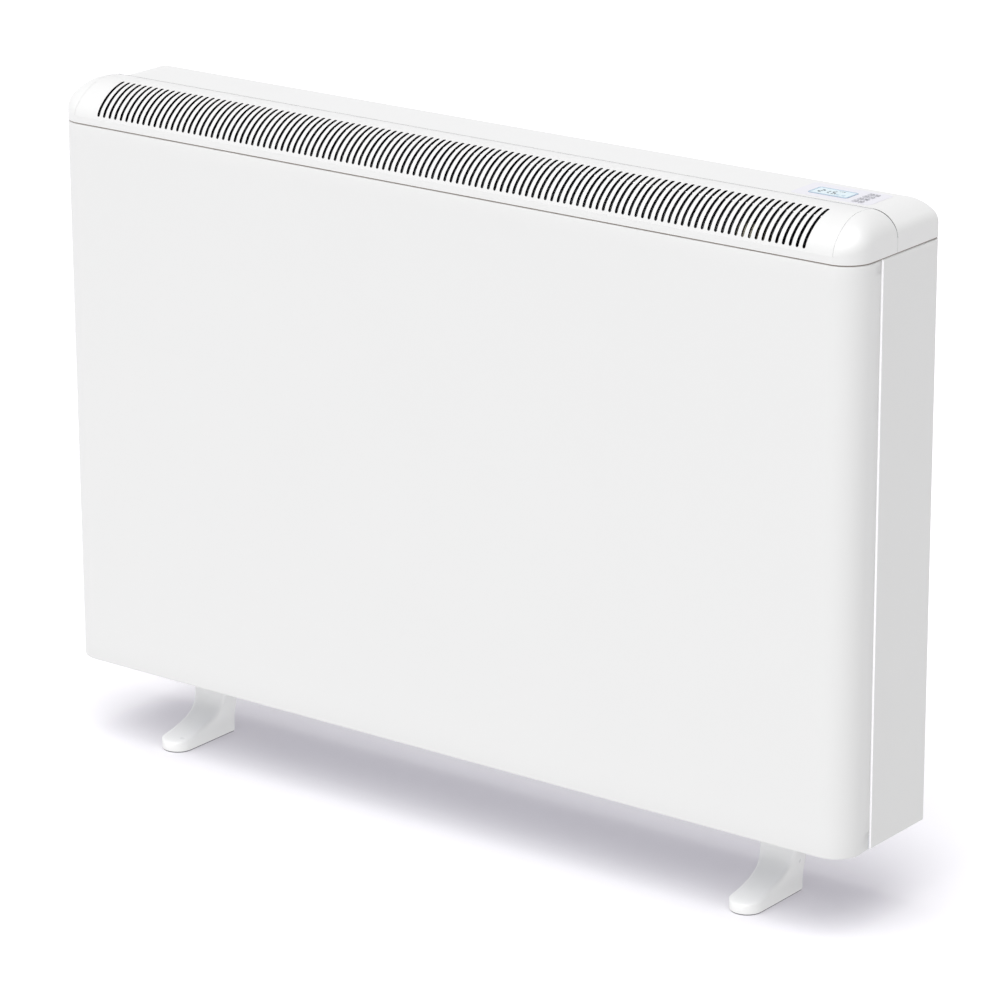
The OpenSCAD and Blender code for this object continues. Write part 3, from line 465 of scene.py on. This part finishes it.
WHITE = powder_coat("casing powder coat", (0.80, 0.80, 0.795))
COVER = moulded("top unit moulding", (0.81, 0.81, 0.805))
BOOT = moulded("foot moulding", (0.9, 0.9, 0.895), 0.28)
ZINC = galvanised_sheet()
WOOL = fibre_board()
ORE = storage_brick()
SHEATH = drawn_metal("element sheath", (0.2, 0.19, 0.17), 0.45)
FIN = drawn_metal("aluminium fins", (0.75, 0.76, 0.77), 0.32, (60, 900, 900))
BRIGHT = drawn_metal("plated steel", (0.66, 0.66, 0.65), 0.28, (300, 300, 300))
MOTOR = moulded("motor housing", (0.62, 0.58, 0.45), 0.4)
FRAME = moulded("display frame", (0.33, 0.48, 0.63), 0.2, 0.6)
INK = rubber("display segments", (0.03, 0.04, 0.05), 0.4)
SCREEN = screen()
BOARD = circuit_board()
KEY = rubber("key caps", (0.6, 0.6, 0.64), 0.6)
MARK = rubber("key marks", (0.22, 0.22, 0.25), 0.5)
LABEL = moulded("control label", (0.79, 0.78, 0.84), 0.35)
TINT = rubber("display tint", (0.25, 0.42, 0.55), 0.4)
IVORY = moulded("terminal housing", (0.72, 0.68, 0.55), 0.4)
BLACK = rubber("black nylon", (0.02, 0.02, 0.021), 0.5)
# painted shade: near black, for the slot walls and inside of the grille, and for the joints behind
# the crown and the domes
PAINTED_SHADE = rubber("painted shade", (0.008, 0.008, 0.009), 0.8, 0.05)
# painted shade: the warm dark strip that darkens the joint under the top unit
JOINT_SHADE = rubber("joint painted shade", (0.28, 0.24, 0.21), 0.7, 0.2)
# painted highlight: a light metal finish for the front edge of the side sheets
EDGE_HIGHLIGHT = drawn_metal("painted edge highlight", (0.87, 0.87, 0.87), 0.3, (300, 300, 300))
RED = moulded("reset cap", (0.5, 0.015, 0.01), 0.35)
SLEEVE = rubber("wire sleeve", (0.32, 0.06, 0.03), 0.55)
PAD = rubber("rubber pads", (0.15, 0.15, 0.16), 0.8)

# Each node of the frame keeps its mesh and gets its finish.
finishes = {
    WHITE: ["front_panel", "left_side_panel", "right_side_panel"],
    COVER: ["top_cover", "outlet_grille"],
    ZINC: ["back_panel", "base_tray", "inner_front_panel", "inner_left_panel",
           "inner_right_panel", "inner_top_panel", "damper_flap", "damper_brackets",
           "boost_brackets"],
    WOOL: ["insulation_front", "insulation_rear", "insulation_left", "insulation_right",
           "insulation_base", "insulation_top"],
    ORE: ["%s_bricks_%d" % (side, k) for side in ("front", "rear") for k in range(1, 5)],
    SHEATH: ["heating_element_%d" % k for k in range(1, 5)],
    FIN: ["boost_element"],
    BRIGHT: ["damper_hinge_rod", "damper_shaft", "core_sensor", "foot_bolts", "casing_screws",
             "board_screws"],
    MOTOR: ["damper_motor"],
    FRAME: ["display_window"],
    INK: ["display_module"],
    BOARD: ["control_board", "relay_board"],
    KEY: ["key_%d" % (k + 1) for k in range(KEY_COUNT)],
    IVORY: ["terminal_block"],
    BLACK: ["thermal_cutout", "supply_glands"],
    RED: ["reset_button"],
    SLEEVE: ["wiring_loom"],
    BOOT: ["left_foot", "right_foot"],
    PAD: ["foot_pads"],
}
for finish, names in finishes.items():
    for name in names:
        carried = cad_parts[name]
        carried.data.materials.clear()
        carried.data.materials.append(finish)


# ---- casing ----
def make_front_panel():
    """One folded sheet: round corners, folded top and foot, side returns and rear flanges."""
    panel = block("front_sheet", (-HALF_WIDTH, 0, CASING_FOOT), (HALF_WIDTH, RETURN, PANEL_TOP))
    edit(panel)
    pick("EDGE", lambda p, way: abs(way.z) > 0.9 and p.y < 1)
    bevel(CORNER, 18)
    pick("FACE", lambda p, way: way.y > 0.9)
    bpy.ops.mesh.delete(type="FACE")
    pick("EDGE", lambda p, way: abs(way.z) < 0.1 and p.y < RETURN - 0.1)
    bevel(FOLD_RADIUS, 4)
    pick("FACE", lambda p, way: abs(way.z) > 0.9)
    bpy.ops.mesh.inset(thickness=FOLD_DEPTH / 1000, use_boundary=False)
    bpy.ops.mesh.delete(type="FACE")
    # the side returns lean in, and their rear edges are folded in
    pick("VERT", lambda p, way: p.y > RETURN - 0.1)
    bpy.ops.transform.resize(value=(1 - RETURN_LEAN / HALF_WIDTH, 1, 1),
                             center_override=(0, 0, 0))
    cut(at(0, 0, FLANGE_FOOT), (0, 0, 1))
    cut(at(0, 0, FLANGE_TOP), (0, 0, 1))
    for side in (-1, 1):
        pick("EDGE", lambda p, way: abs(way.z) > 0.9 and p.y > RETURN - 0.1
             and FLANGE_FOOT < p.z < FLANGE_TOP and p.x * side > 0)
        extrude(x=-FLANGE * side)
    pick("EDGE", lambda p, way: abs(way.z) > 0.9 and p.y > RETURN - 0.1
         and FLANGE_FOOT < p.z < FLANGE_TOP and abs(p.x) > HALF_WIDTH - 3)
    bevel(0.4, 2)
    to_objects()
    merge(panel)
    modify(panel, "SOLIDIFY", thickness=SHEET / 1000, offset=-1, use_even_offset=True)
    soften(panel, 0.3, 2, 60)
    smooth(panel, 40)
    return panel


def make_side_panel():
    """A shallow tray with slanted edges, the front one with a painted highlight."""
    panel = block("right_side_sheet", (HALF_WIDTH - 14, RETURN + SIDE_GAP, CASING_FOOT),
                  (HALF_WIDTH, DEPTH, PANEL_TOP))
    edit(panel)
    pick("FACE", lambda p, way: way.x < -0.9)
    bpy.ops.mesh.delete(type="FACE")
    pick("EDGE", lambda p, way: p.x > HALF_WIDTH - 0.1)
    bevel(1.4, 1)
    to_objects()
    merge(panel)
    modify(panel, "SOLIDIFY", thickness=SHEET / 1000, offset=-1, use_even_offset=True)
    soften(panel, 0.25, 2, 60)
    smooth(panel, 40)
    paint(panel, WHITE)
    # the slanted front edge gets the light finish: a painted highlight along the seam
    paint(panel, EDGE_HIGHLIGHT, lambda p, way: p.y < RETURN + 2.5 and way.x > 0.3 and way.y < -0.3)
    return panel


fit(make_front_panel(), WHITE, stands_for=["front_panel"])
right_sheet = make_side_panel()
left_sheet = copy(right_sheet, "left_side_sheet", mirrored=True)
fit(right_sheet, WHITE, stands_for=["right_side_panel"])
fit(left_sheet, WHITE, stands_for=["left_side_panel"])


def make_joint_shade():
    """A dark strip of painted shade in the joint between the casing and the top unit."""
    shade_strip = block("cover_joint_shade", (-HALF_WIDTH + JOINT_SHADE_INSET, JOINT_SHADE_INSET, PANEL_TOP + 0.02),
                 (HALF_WIDTH - JOINT_SHADE_INSET, DEPTH - 1, COVER_FOOT - 0.02))
    edit(shade_strip)
    pick("EDGE", lambda p, way: abs(way.z) > 0.9 and p.y < 2)
    bevel(CORNER - JOINT_SHADE_INSET, 18)
    pick("FACE", lambda p, way: abs(way.z) > 0.9 or way.y > 0.9)
    bpy.ops.mesh.delete(type="FACE")
    to_objects()
    modify(shade_strip, "SOLIDIFY", thickness=0.0025, offset=-1, use_even_offset=True)
    soften(shade_strip, 0.15, 2, 50)
    smooth(shade_strip, 40)
    return shade_strip


fit(make_joint_shade(), JOINT_SHADE)


# ---- outlet grille ----
def end_of_grille(z):
    """The joint at the grille's end leans out a little towards the lip."""
    return GRILLE_HALF + END_LEAN * (TOP - z) / (TOP - LIP_TOP)


def make_grille():
    """One pitch of the flat sheet, with its slot, is repeated and then bent over the outline."""
    nose = NOSE_ARC * math.radians(NOSE_TURN)
    crown = CROWN_ARC * math.radians(CROWN_TURN)
    fall = FALL_ARC * math.asin((SEAM_FRONT - CROWN_DEPTH) / FALL_ARC)
    length = nose + crown + fall
    low = NOSE_ARC * math.radians(SLOT_LOW_TURN)
    high = nose + CROWN_ARC * math.radians(SLOT_HIGH_TURN)
    half_slot = SLOT_WIDTH / 2

    # tests on the flat sheet, whose depth runs along the outline
    def beside(p):
        return abs(abs(p.x) - half_slot) < 0.01

    def inside(p):
        return low < p.y - ORIGIN_DEPTH < high

    def at_tip(p):
        return min(abs(p.y - ORIGIN_DEPTH - s) for s in (low, high)) < 0.01

    grille = start("grille_shell", bpy.ops.mesh.primitive_plane_add, size=1,
                   location=(0, length / 2000, 0),
                   scale=(SLOT_PITCH / 1000, length / 1000, 1))
    edit(grille)
    for x in (-half_slot, 0, half_slot):
        cut((x / 1000, 0, 0), (1, 0, 0))
    for s in (low, high):
        cut((0, s / 1000, 0), (0, 1, 0))
    pick("FACE", lambda p, way: abs(p.x) < half_slot and inside(p))
    bpy.ops.mesh.delete(type="FACE")
    # the cuts beyond the slot's corners go, so the corners can be rounded
    pick("EDGE", lambda p, way: (beside(p) and not inside(p))
         or (abs(p.x) > half_slot + 0.1 and abs(way.x) > 0.9 and at_tip(p)))
    bpy.ops.mesh.dissolve_edges(use_verts=False)
    pick("VERT", lambda p, way: beside(p) and at_tip(p))
    bevel(half_slot * 0.985, 4, "VERTICES")
    steps = [nose * k / 4 for k in (1, 2, 3, 4)]
    steps += [nose + crown * k / 11 for k in range(1, 12)]
    steps += [nose + crown + fall * k / 3 for k in (1, 2)]
    for s in steps:
        cut((0, s / 1000, 0), (0, 1, 0))
    to_objects()
    grille.data.transform(Matrix.Translation((-SLOT_PITCH / 1000 * (SLOT_COUNT - 1) / 2, 0, 0)))
    modify(grille, "ARRAY", count=SLOT_COUNT, use_relative_offset=False,
           use_constant_offset=True, constant_offset_displace=(SLOT_PITCH / 1000, 0, 0),
           use_merge_vertices=True, merge_threshold=0.00005)
    edit(grille)
    for side in (-1, 1):
        end = side * SLOT_COUNT * SLOT_PITCH / 2
        pick("EDGE", lambda p, way: abs(p.x - end) < 0.01 and abs(way.y) > 0.9)
        extrude(x=side * GRILLE_HALF - end)
    to_objects()
    # the outline: front curve, crown curve, and the fall behind it
    for point in grille.data.vertices:
        s = point.co.y * 1000
        if s < nose:
            turn = math.radians(NOSE_START) + s / NOSE_ARC
            arc, mid_depth, mid_height = NOSE_ARC, NOSE_DEPTH, NOSE_HEIGHT
        elif s < nose + crown:
            turn = math.radians(NOSE_START + NOSE_TURN) + (s - nose) / CROWN_ARC
            arc, mid_depth, mid_height = CROWN_ARC, CROWN_DEPTH, CROWN_HEIGHT
        else:
            turn = math.radians(90) + (s - nose - crown) / FALL_ARC
            arc, mid_depth, mid_height = FALL_ARC, CROWN_DEPTH, FALL_HEIGHT
        x, z = point.co.x * 1000, mid_height + arc * math.sin(turn)
        if abs(x) > GRILLE_HALF - 0.01:
            x = math.copysign(end_of_grille(z), x)
        point.co = at(x, mid_depth - arc * math.cos(turn), z)
    # behind the crown: a narrow joint whose floor is painted shade, and the drop to the flat part
    edit(grille)
    pick("EDGE", lambda p, way: p.y > SEAM_FRONT - 0.1 and abs(way.x) > 0.9)
    extrude(z=-0.1)
    extrude(depth=FLAT_FRONT - SEAM_FRONT)
    extrude(z=FLAT_TOP - SEAM_HEIGHT)
    to_objects()
    merge(grille)
    paint(grille, COVER)
    paint(grille, PAINTED_SHADE, lambda p, way: p.y > SEAM_FRONT + 0.1 and way.z > 0.9)
    # the walls of the slots and the inside are painted shade, near black
    modify(grille, "SOLIDIFY", thickness=GRILLE_WALL / 1000, offset=-1, use_even_offset=True,
           material_offset=1, material_offset_rim=1)
    paint(grille, COVER, lambda p, way: p.z < LIP_TOP + 0.1 and way.z < -0.5)
    soften(grille, 0.2, 1, 60)
    smooth(grille, 40)
    return grille


# ---- top cover ----
def crown_height(depth):
    """The height of the grille's outline at a depth."""
    if depth < NOSE_DEPTH - NOSE_ARC * math.cos(math.radians(NOSE_START + NOSE_TURN)):
        return NOSE_HEIGHT + math.sqrt(max(0, NOSE_ARC**2 - (NOSE_DEPTH - depth)**2))
    if depth < CROWN_DEPTH:
        return CROWN_HEIGHT + math.sqrt(CROWN_ARC**2 - (CROWN_DEPTH - depth)**2)
    return FALL_HEIGHT + math.sqrt(FALL_ARC**2 - (depth - CROWN_DEPTH)**2)


def make_dome():
    """The rounded end of the top unit, from a grid whose rows are its upright slices."""
    rows, arc = 24, 14
    dome = start("cover_dome", bpy.ops.mesh.primitive_grid_add, x_subdivisions=arc + 1,
                 y_subdivisions=rows, size=1)
    for point in dome.data.vertices:
        u = round((point.co.x + 0.5) * (arc + 1))
        v = round((point.co.y + 0.5) * rows)
        turn = math.pi / 2 * max(0, u - 1) / arc
        joint = JOINT_FOOT + JOINT_GROWTH * math.sin(turn)
        # the rows lie closer at the front, where the outline turns most
        depth = (FLAT_FRONT - joint) * (v / rows)**2.1
        away = CORNER - min(depth, CORNER)
        rise = math.sin(math.pi / 2 * min(1, depth / CORNER))
        foot = LIP_TOP + (SHOULDER_FOOT - LIP_TOP) * rise
        top = max(crown_height(depth), foot)
        inner = end_of_grille(top) + END_GAP
        out = max(HALF_WIDTH - CORNER + math.sqrt(CORNER**2 - away**2), inner)
        x = inner + (out - inner) * math.cos(turn)
        z = foot + (top - foot) * math.sin(turn) if u else COVER_FOOT
        point.co = at(x, depth, z)
    paint(dome, COVER)
    paint(dome, PAINTED_SHADE)
    skin = len(dome.data.polygons)
    # from the dome's rear edge: a small step in, back to the flat part, and the closing wall
    edit(dome)
    pick("EDGE", lambda p, way: p.y > FLAT_FRONT - 5 and p.z > SHOULDER_FOOT + 0.01
         and abs(way.y) < 0.6)
    for size in ((0.994, 1, 0.994), (1, 0, 1), (0.75, 1, 0.75)):
        bpy.ops.mesh.extrude_region()
        bpy.ops.transform.resize(value=size,
                                 center_override=at(DOME_IN, FLAT_FRONT, SHOULDER_FOOT))
    to_objects()
    # of these three rings, the step in and the strip back to the flat part are painted shade for
    # the joint; the closing wall stays white
    rings = len(dome.data.polygons) - skin
    for face in dome.data.polygons[skin:skin + rings * 2 // 3]:
        face.material_index = 1
    return dome


def make_cover():
    """The rear part with its shoulders, the two domes, and the lip that joins them."""
    small_x = HALF_WIDTH - SMALL_ARC
    turn = math.radians(SMALL_TURN)
    big_x = small_x - (BIG_ARC - SMALL_ARC) * math.cos(turn)
    big_z = SHOULDER_FOOT - (BIG_ARC - SMALL_ARC) * math.sin(turn)
    arch = block("cover_shell", (HALF_WIDTH - 20, FLAT_FRONT, COVER_FOOT),
                 (HALF_WIDTH, DEPTH, SHOULDER_FOOT))
    edit(arch)
    pick("FACE", lambda p, way: way.x < 0.9)
    bpy.ops.mesh.delete(type="FACE")
    pick("EDGE", lambda p, way: p.z > SHOULDER_FOOT - 0.1)
    spin(small_x, 0, SHOULDER_FOOT, (0, 1, 0), SMALL_TURN, 8)
    spin(big_x, 0, big_z, (0, 1, 0), 90 - SMALL_TURN, 8)
    extrude(x=-big_x)
    pick("VERT", lambda p, way: p.y > DEPTH - 0.1 and abs(p.x) < 0.1)
    extrude(z=COVER_FOOT - FLAT_TOP)
    pick("VERT", lambda p, way: p.y > DEPTH - 0.1)
    bpy.ops.mesh.edge_face_add()
    to_objects()
    modify(arch, "MIRROR", use_axis=(True, False, False), use_clip=True, merge_threshold=0.0001)
    merge(arch)
    edit(arch)
    pick("EDGE", lambda p, way: p.y > DEPTH - 0.1 and p.z > COVER_FOOT + 0.1 and abs(way.z) < 0.999
         or p.y > DEPTH - 0.1 and abs(p.x) > HALF_WIDTH - 0.1)
    bevel(1.5, 3)
    to_objects()
    modify(arch, "SOLIDIFY", thickness=COVER_WALL / 1000, offset=-1, use_even_offset=True)
    paint(arch, COVER)
    open_for_controls(arch)
    soften(arch, 0.35, 2, 50)
    # the edge of its sheet is seen through the joint in front of it, and is painted shade there
    paint(arch, PAINTED_SHADE, lambda p, way: way.y < -0.9 and p.z > SHOULDER_FOOT
          and p.y < FLAT_FRONT + 1)
    dome = make_dome()
    reach = end_of_grille(LIP_TOP) + END_GAP
    band = block("cover_band", (-reach, 0, COVER_FOOT), (reach, 6, LIP_TOP))
    edit(band)
    pick("FACE", lambda p, way: way.y < -0.9 or way.z > 0.9)
    bpy.ops.mesh.select_all(action="INVERT")
    bpy.ops.mesh.delete(type="FACE")
    to_objects()
    paint(band, COVER)
    other = copy(dome, "cover_dome_left", mirrored=True)
    front = join(dome, other, band)
    merge(front, 0.05)
    modify(front, "SOLIDIFY", thickness=COVER_WALL / 1000, offset=-1, use_even_offset=True)
    soften(front, 0.3, 2, 60)
    cover = join(front, arch)
    cover.name = cover.data.name = "cover_shell"
    smooth(cover, 35)
    modify(cover, "WEIGHTED_NORMAL", keep_sharp=True)
    return cover


def key_place(k):
    """Across and depth of a key: two columns of four, the first key at the rear."""
    return KEYS_X + (k // 4 - 0.5) * KEY_SPREAD, PANEL_DEPTH + (1.5 - k % 4) * KEY_STEP


def rounded_block(name, x, depth, width, length, low, high, radius, segments=4):
    """A block round a middle, with round upright edges."""
    made = block(name, (x - width / 2, depth - length / 2, low),
                 (x + width / 2, depth + length / 2, high))
    edit(made)
    pick("EDGE", lambda p, way: abs(way.z) > 0.9)
    bevel(radius, segments)
    to_objects()
    return made


def open_for_controls(sheet):
    """Cuts the openings of the window and the eight keys, each a little larger than its piece."""
    play, low, high = 0.6, 725, 740
    cutters = [rounded_block("cutter", WINDOW_X, PANEL_DEPTH, WINDOW_WIDTH + play,
                             WINDOW_LENGTH + play, low, high, 3.2)]
    for k in range(KEY_COUNT):
        x, depth = key_place(k)
        cutters.append(rounded_block("cutter", x, depth, KEY_WIDTH + play, KEY_LENGTH + play,
                                     low, high, 1.1))
    cutter = join(*cutters)
    modify(sheet, "BOOLEAN", operation="DIFFERENCE", object=cutter, solver="EXACT")
    bpy.data.objects.remove(cutter)


fit(make_grille(), COVER, stands_for=["outlet_grille"])
fit(make_cover(), COVER, stands_for=["top_cover"])


# ---- controls ----
def make_label():
    """The thin printed sheet round the window and the keys."""
    label = rounded_block("control_label", LABEL_X, LABEL_DEPTH, LABEL_WIDTH, LABEL_LENGTH,
                          LABEL_FOOT, LABEL_TOP, 4, 6)
    open_for_controls(label)
    soften(label, 0.1, 2, 50)
    smooth(label, 40)
    modify(label, "WEIGHTED_NORMAL", keep_sharp=True)
    return label


def make_window():
    """A tinted frame round a slightly lower screen."""
    window = rounded_block("window_frame", WINDOW_X, PANEL_DEPTH, WINDOW_WIDTH, WINDOW_LENGTH,
                           CONTROL_FOOT, WINDOW_TOP, 2.9)
    edit(window)
    pick("FACE", lambda p, way: way.z > 0.9)
    bpy.ops.mesh.inset(thickness=0.0021)
    extrude(z=-0.12)
    to_objects()
    paint(window, FRAME)
    paint(window, SCREEN, lambda p, way: way.z > 0.9 and p.z < WINDOW_TOP - 0.05)
    soften(window, 0.05, 2, 50)
    smooth(window, 40)
    modify(window, "WEIGHTED_NORMAL", keep_sharp=True)
    return window


def bar(x, depth, width, length, low=BAR_FOOT, high=BAR_TOP):
    """A flat bar of the display, its ends drawn in to a blunt point."""
    made = block("display_bar", (x - width / 2, depth - length / 2, low),
                 (x + width / 2, depth + length / 2, high))
    edit(made)
    pick("EDGE", lambda p, way: abs(way.z) > 0.9)
    bevel(min(width, length) * 0.42, 1)
    to_objects()
    return made


# the bars of a figure, as (across, up, upright), and the bars each number shows
FIGURE_BARS = {"a": (0.5, 1, 0), "b": (1, 0.75, 1), "c": (1, 0.25, 1), "d": (0.5, 0, 0),
               "e": (0, 0.25, 1), "f": (0, 0.75, 1), "g": (0.5, 0.5, 0)}
SHOWN = {"0": "abcdef", "1": "bc", "2": "abged", "5": "afgcd", "8": "abcdefg"}


def figures(text, x, depth, height, stroke):
    """Numbers of seven bars each, from their left end."""
    bars = []
    width = height * 0.5
    for letter in text:
        if letter == ".":
            bars.append(bar(x - width * 0.02, depth - height / 2, stroke, stroke))
            x += width * 0.42
            continue
        for name in SHOWN[letter]:
            across, up, upright = FIGURE_BARS[name]
            long = (height / 2 if upright else width) - stroke * 0.55
            bars.append(bar(x + across * width, depth + (up - 0.5) * height,
                            stroke if upright else long, long if upright else stroke))
        x += width * 1.5
    return bars


def make_reading():
    """A large number with three small bars, and two small tinted numbers under it."""
    reading = join(*figures("21.5", 393.6, 113.6, 8.6, 1.7),
                   *[bar(413.4 + 2.3 * k, 120.6, 1.7, 1.4 + 0.5 * k) for k in range(3)])
    reading.name = reading.data.name = "display_reading"
    small = join(*figures("20", 414.5, 108.6, 3.4, 0.6),
                 *figures("18", 421.3, 108.6, 3.4, 0.6))
    small.name = small.data.name = "display_clock"
    return reading, small


def make_key():
    """The first key's cap, with a rounded rim."""
    x, depth = key_place(0)
    key = rounded_block("key_cap", x, depth, KEY_WIDTH, KEY_LENGTH, CONTROL_FOOT, KEY_TOP, 0.9)
    edit(key)
    pick("EDGE", lambda p, way: p.z > KEY_TOP - 0.1)
    bevel(0.4, 3)
    to_objects()
    return key


def key_mark(k, x, depth):
    """A small raised mark: four arrow heads, a plus, a minus, a ring and a square."""
    middle = at(x, depth, KEY_TOP + 0.02)
    long, stroke = 2.6, 0.7
    if k < 4:
        return start("mark", bpy.ops.mesh.primitive_cylinder_add, vertices=3, radius=0.00125,
                     depth=0.0002, location=middle, rotation=(0, 0, math.radians(90 * k)))
    if k == 4:
        return join(bar(x, depth, long, stroke, MARK_FOOT, MARK_TOP),
                    bar(x, depth, stroke, long, MARK_FOOT, MARK_TOP))
    if k == 5:
        return bar(x, depth, long, stroke, MARK_FOOT, MARK_TOP)
    ring = start("mark", bpy.ops.mesh.primitive_cylinder_add, vertices=20 if k == 6 else 4,
                 radius=0.0013, depth=0.0002, location=middle,
                 rotation=(0, 0, math.radians(45)))
    edit(ring)
    pick("FACE", lambda p, way: way.z > 0.9)
    bpy.ops.mesh.inset(thickness=0.0005)
    extrude(z=-0.1)
    to_objects()
    return ring


fit(make_label(), LABEL)
fit(make_window(), FRAME, stands_for=["display_window"])
reading, clock = make_reading()
fit(reading, INK)
fit(clock, TINT)
first = make_key()
first_x, first_depth = key_place(0)
for k in range(KEY_COUNT):
    x, depth = key_place(k)
    cap = copy(first, "key_cap_%d" % (k + 1), move=(x - first_x, depth - first_depth, 0))
    mark = key_mark(k, x, depth)
    paint(cap, KEY)
    paint(mark, MARK)
    cap = join(mark, cap)
    smooth(cap, 40)
    fit(cap, KEY, body="key_%d" % (k + 1), stands_for=["key_%d" % (k + 1)])
bpy.data.objects.remove(first)


# ---- feet ----
# how far the front edge of a level slice has moved from the toe to the shank, and how far up
INSTEP = [
    (0, 0), (0, 0.053), (0.006, 0.085), (0.03, 0.112), (0.08, 0.13), (0.18, 0.146), (0.3, 0.166),
    (0.42, 0.191), (0.54, 0.219), (0.66, 0.25), (0.77, 0.288), (0.86, 0.334), (0.93, 0.395),
    (0.97, 0.465), (0.99, 0.545), (1, 0.66), (1, 1),
]


def make_foot():
    """A boot, from a grid whose rows are its level slices."""
    last = len(INSTEP) - 1
    columns, round_edge = 26, 5
    foot = start("right_boot", bpy.ops.mesh.primitive_grid_add, x_subdivisions=columns,
                 y_subdivisions=last, size=1)
    rise = FOOT_TOP - FOOT_BASE
    for point in foot.data.vertices:
        u = round((point.co.x + 0.5) * columns)
        k = round((point.co.y + 0.5) * last)
        above, below = INSTEP[min(k + 1, last)], INSTEP[max(k - 1, 0)]
        climb = Vector(((above[0] - below[0]) * INSTEP_RUN,
                        (above[1] - below[1]) * rise)).normalized().y
        edge = TOE_DEPTH + INSTEP[k][0] * INSTEP_RUN
        z = FOOT_BASE + INSTEP[k][1] * rise
        t = min(1, max(0, (z - FLARE_FOOT) / FLARE_RUN))
        half = TOE_HALF + SHANK_FLARE * t * t * (3 - 2 * t)
        if u in (0, columns):
            x, depth = (half if u else -half), HEEL_DEPTH
        else:
            turn = math.pi * (u - 1) / (columns - 2) - math.pi / 2
            x = half * math.sin(turn)
            off = max(0, abs(x) - half + round_edge) / round_edge
            depth = max(TOE_DEPTH + TOE_HALF * (1 - math.cos(turn)),
                        edge + round_edge / max(0.25, climb) * (1 - math.sqrt(1 - off * off)))
        point.co = at(FOOT_X + x, depth, z)
    edit(foot)
    pick("VERT", lambda p, way: p.z < FOOT_BASE + 0.01)
    bpy.ops.mesh.edge_face_add()
    pick("VERT", lambda p, way: p.z > FOOT_BASE + rise - 0.01)
    bpy.ops.mesh.edge_face_add()
    pick("VERT", lambda p, way: p.y > HEEL_DEPTH - 0.01)
    bpy.ops.mesh.edge_face_add()
    to_objects()
    merge(foot)
    soften(foot, 0.8, 3, 60)
    smooth(foot, 50)
    return foot


right_boot = make_foot()
left_boot = copy(right_boot, "left_boot", mirrored=True)
fit(right_boot, BOOT, stands_for=["right_foot"])
fit(left_boot, BOOT, stands_for=["left_foot"])


# ---- floor, light and camera ----
# what the floor gives off: as it is seen, and as it lights the heater from below
FLOOR_GLOW = (0.215, 0.2, 0.235)
FLOOR_LIGHT = (0.97, 0.97, 0.975)
# the sky's strength, and how much weaker it is from behind and from the two sides
SKY, SKY_BACK, SKY_SIDES = 0.6, 0.35, 0.35
SUN, SUN_SPREAD, SUN_FROM = 0.6, 65, (0.05, -0.35, 0.93)
CAMERA_AT = (2.8760, -3.7461, 1.9028)
CAMERA_TURN = (1.252794, 0.003799, 0.648749)
CAMERA_LENS = 171.21


def seen_rays(tree):
    """One for the rays that show a surface itself, straight or in gloss and glass."""
    camera, gloss, glass = (node(tree, "LightPath", {}, {}, "Is %s Ray" % kind)
                            for kind in ("Camera", "Glossy", "Transmission"))
    return node(tree, "Math", {"operation": "ADD", "use_clamp": True}, [camera + gloss, glass])


def make_stage():
    """A pale floor with a shadow painted near the heater, plain studio light that is a little
    stronger from the front, the camera.
    """
    floor = start("floor", bpy.ops.mesh.primitive_plane_add, size=60, location=(0, 0, 0))
    ground = Finish("floor", Roughness=1, Specular_IOR_Level=0, Emission_Strength=1)
    seen = seen_rays(ground.tree)
    # as seen, the floor is painted darker where the heater shuts out the open sky: a painted
    # shadow over the real one
    open_sky = ground.node("AmbientOcclusion", {"samples": 32}, {"Distance": 0.2}, "AO")
    pale_with_painted_shadow = ground.mix(open_sky, (0.36, 0.36, 0.36), (1, 1, 1))
    ground.feed("Base Color", ground.mix(seen, (0, 0, 0), pale_with_painted_shadow))
    ground.feed("Emission Color", ground.mix(seen, FLOOR_LIGHT, FLOOR_GLOW))
    floor.data.materials.append(ground.material)
    world = bpy.data.worlds.new("studio")
    bpy.context.scene.world = world
    world.use_nodes = True
    tree = world.node_tree
    sky = tree.nodes["Background"]
    sky.inputs["Color"].default_value = (0.99, 0.99, 1, 1)
    way = node(tree, "TexCoord", {}, {}, "Generated")
    across = node(tree, "SeparateXYZ", {}, [way], "X")
    back = node(tree, "SeparateXYZ", {}, [way], "Y")
    light = SKY - SKY_BACK * back - SKY_SIDES * across * across
    seen = seen_rays(tree)
    strength = light + (1 - light) * seen
    tree.links.new(strength.socket, sky.inputs["Strength"])
    to_objects()
    bpy.ops.object.light_add(type="SUN", location=(0, -2, 4))
    sun = bpy.context.object
    sun.data.energy = SUN * math.pi
    sun.data.angle = math.radians(SUN_SPREAD)
    sun.rotation_euler = Vector(SUN_FROM).to_track_quat("Z", "Y").to_euler()
    bpy.ops.object.camera_add(location=CAMERA_AT, rotation=CAMERA_TURN)
    camera = bpy.context.object
    camera.data.lens = CAMERA_LENS
    camera.data.sensor_width = 36
    camera.data.clip_end = 200
    bpy.context.scene.camera = camera
    bpy.context.scene.view_settings.view_transform = "Standard"


make_stage()
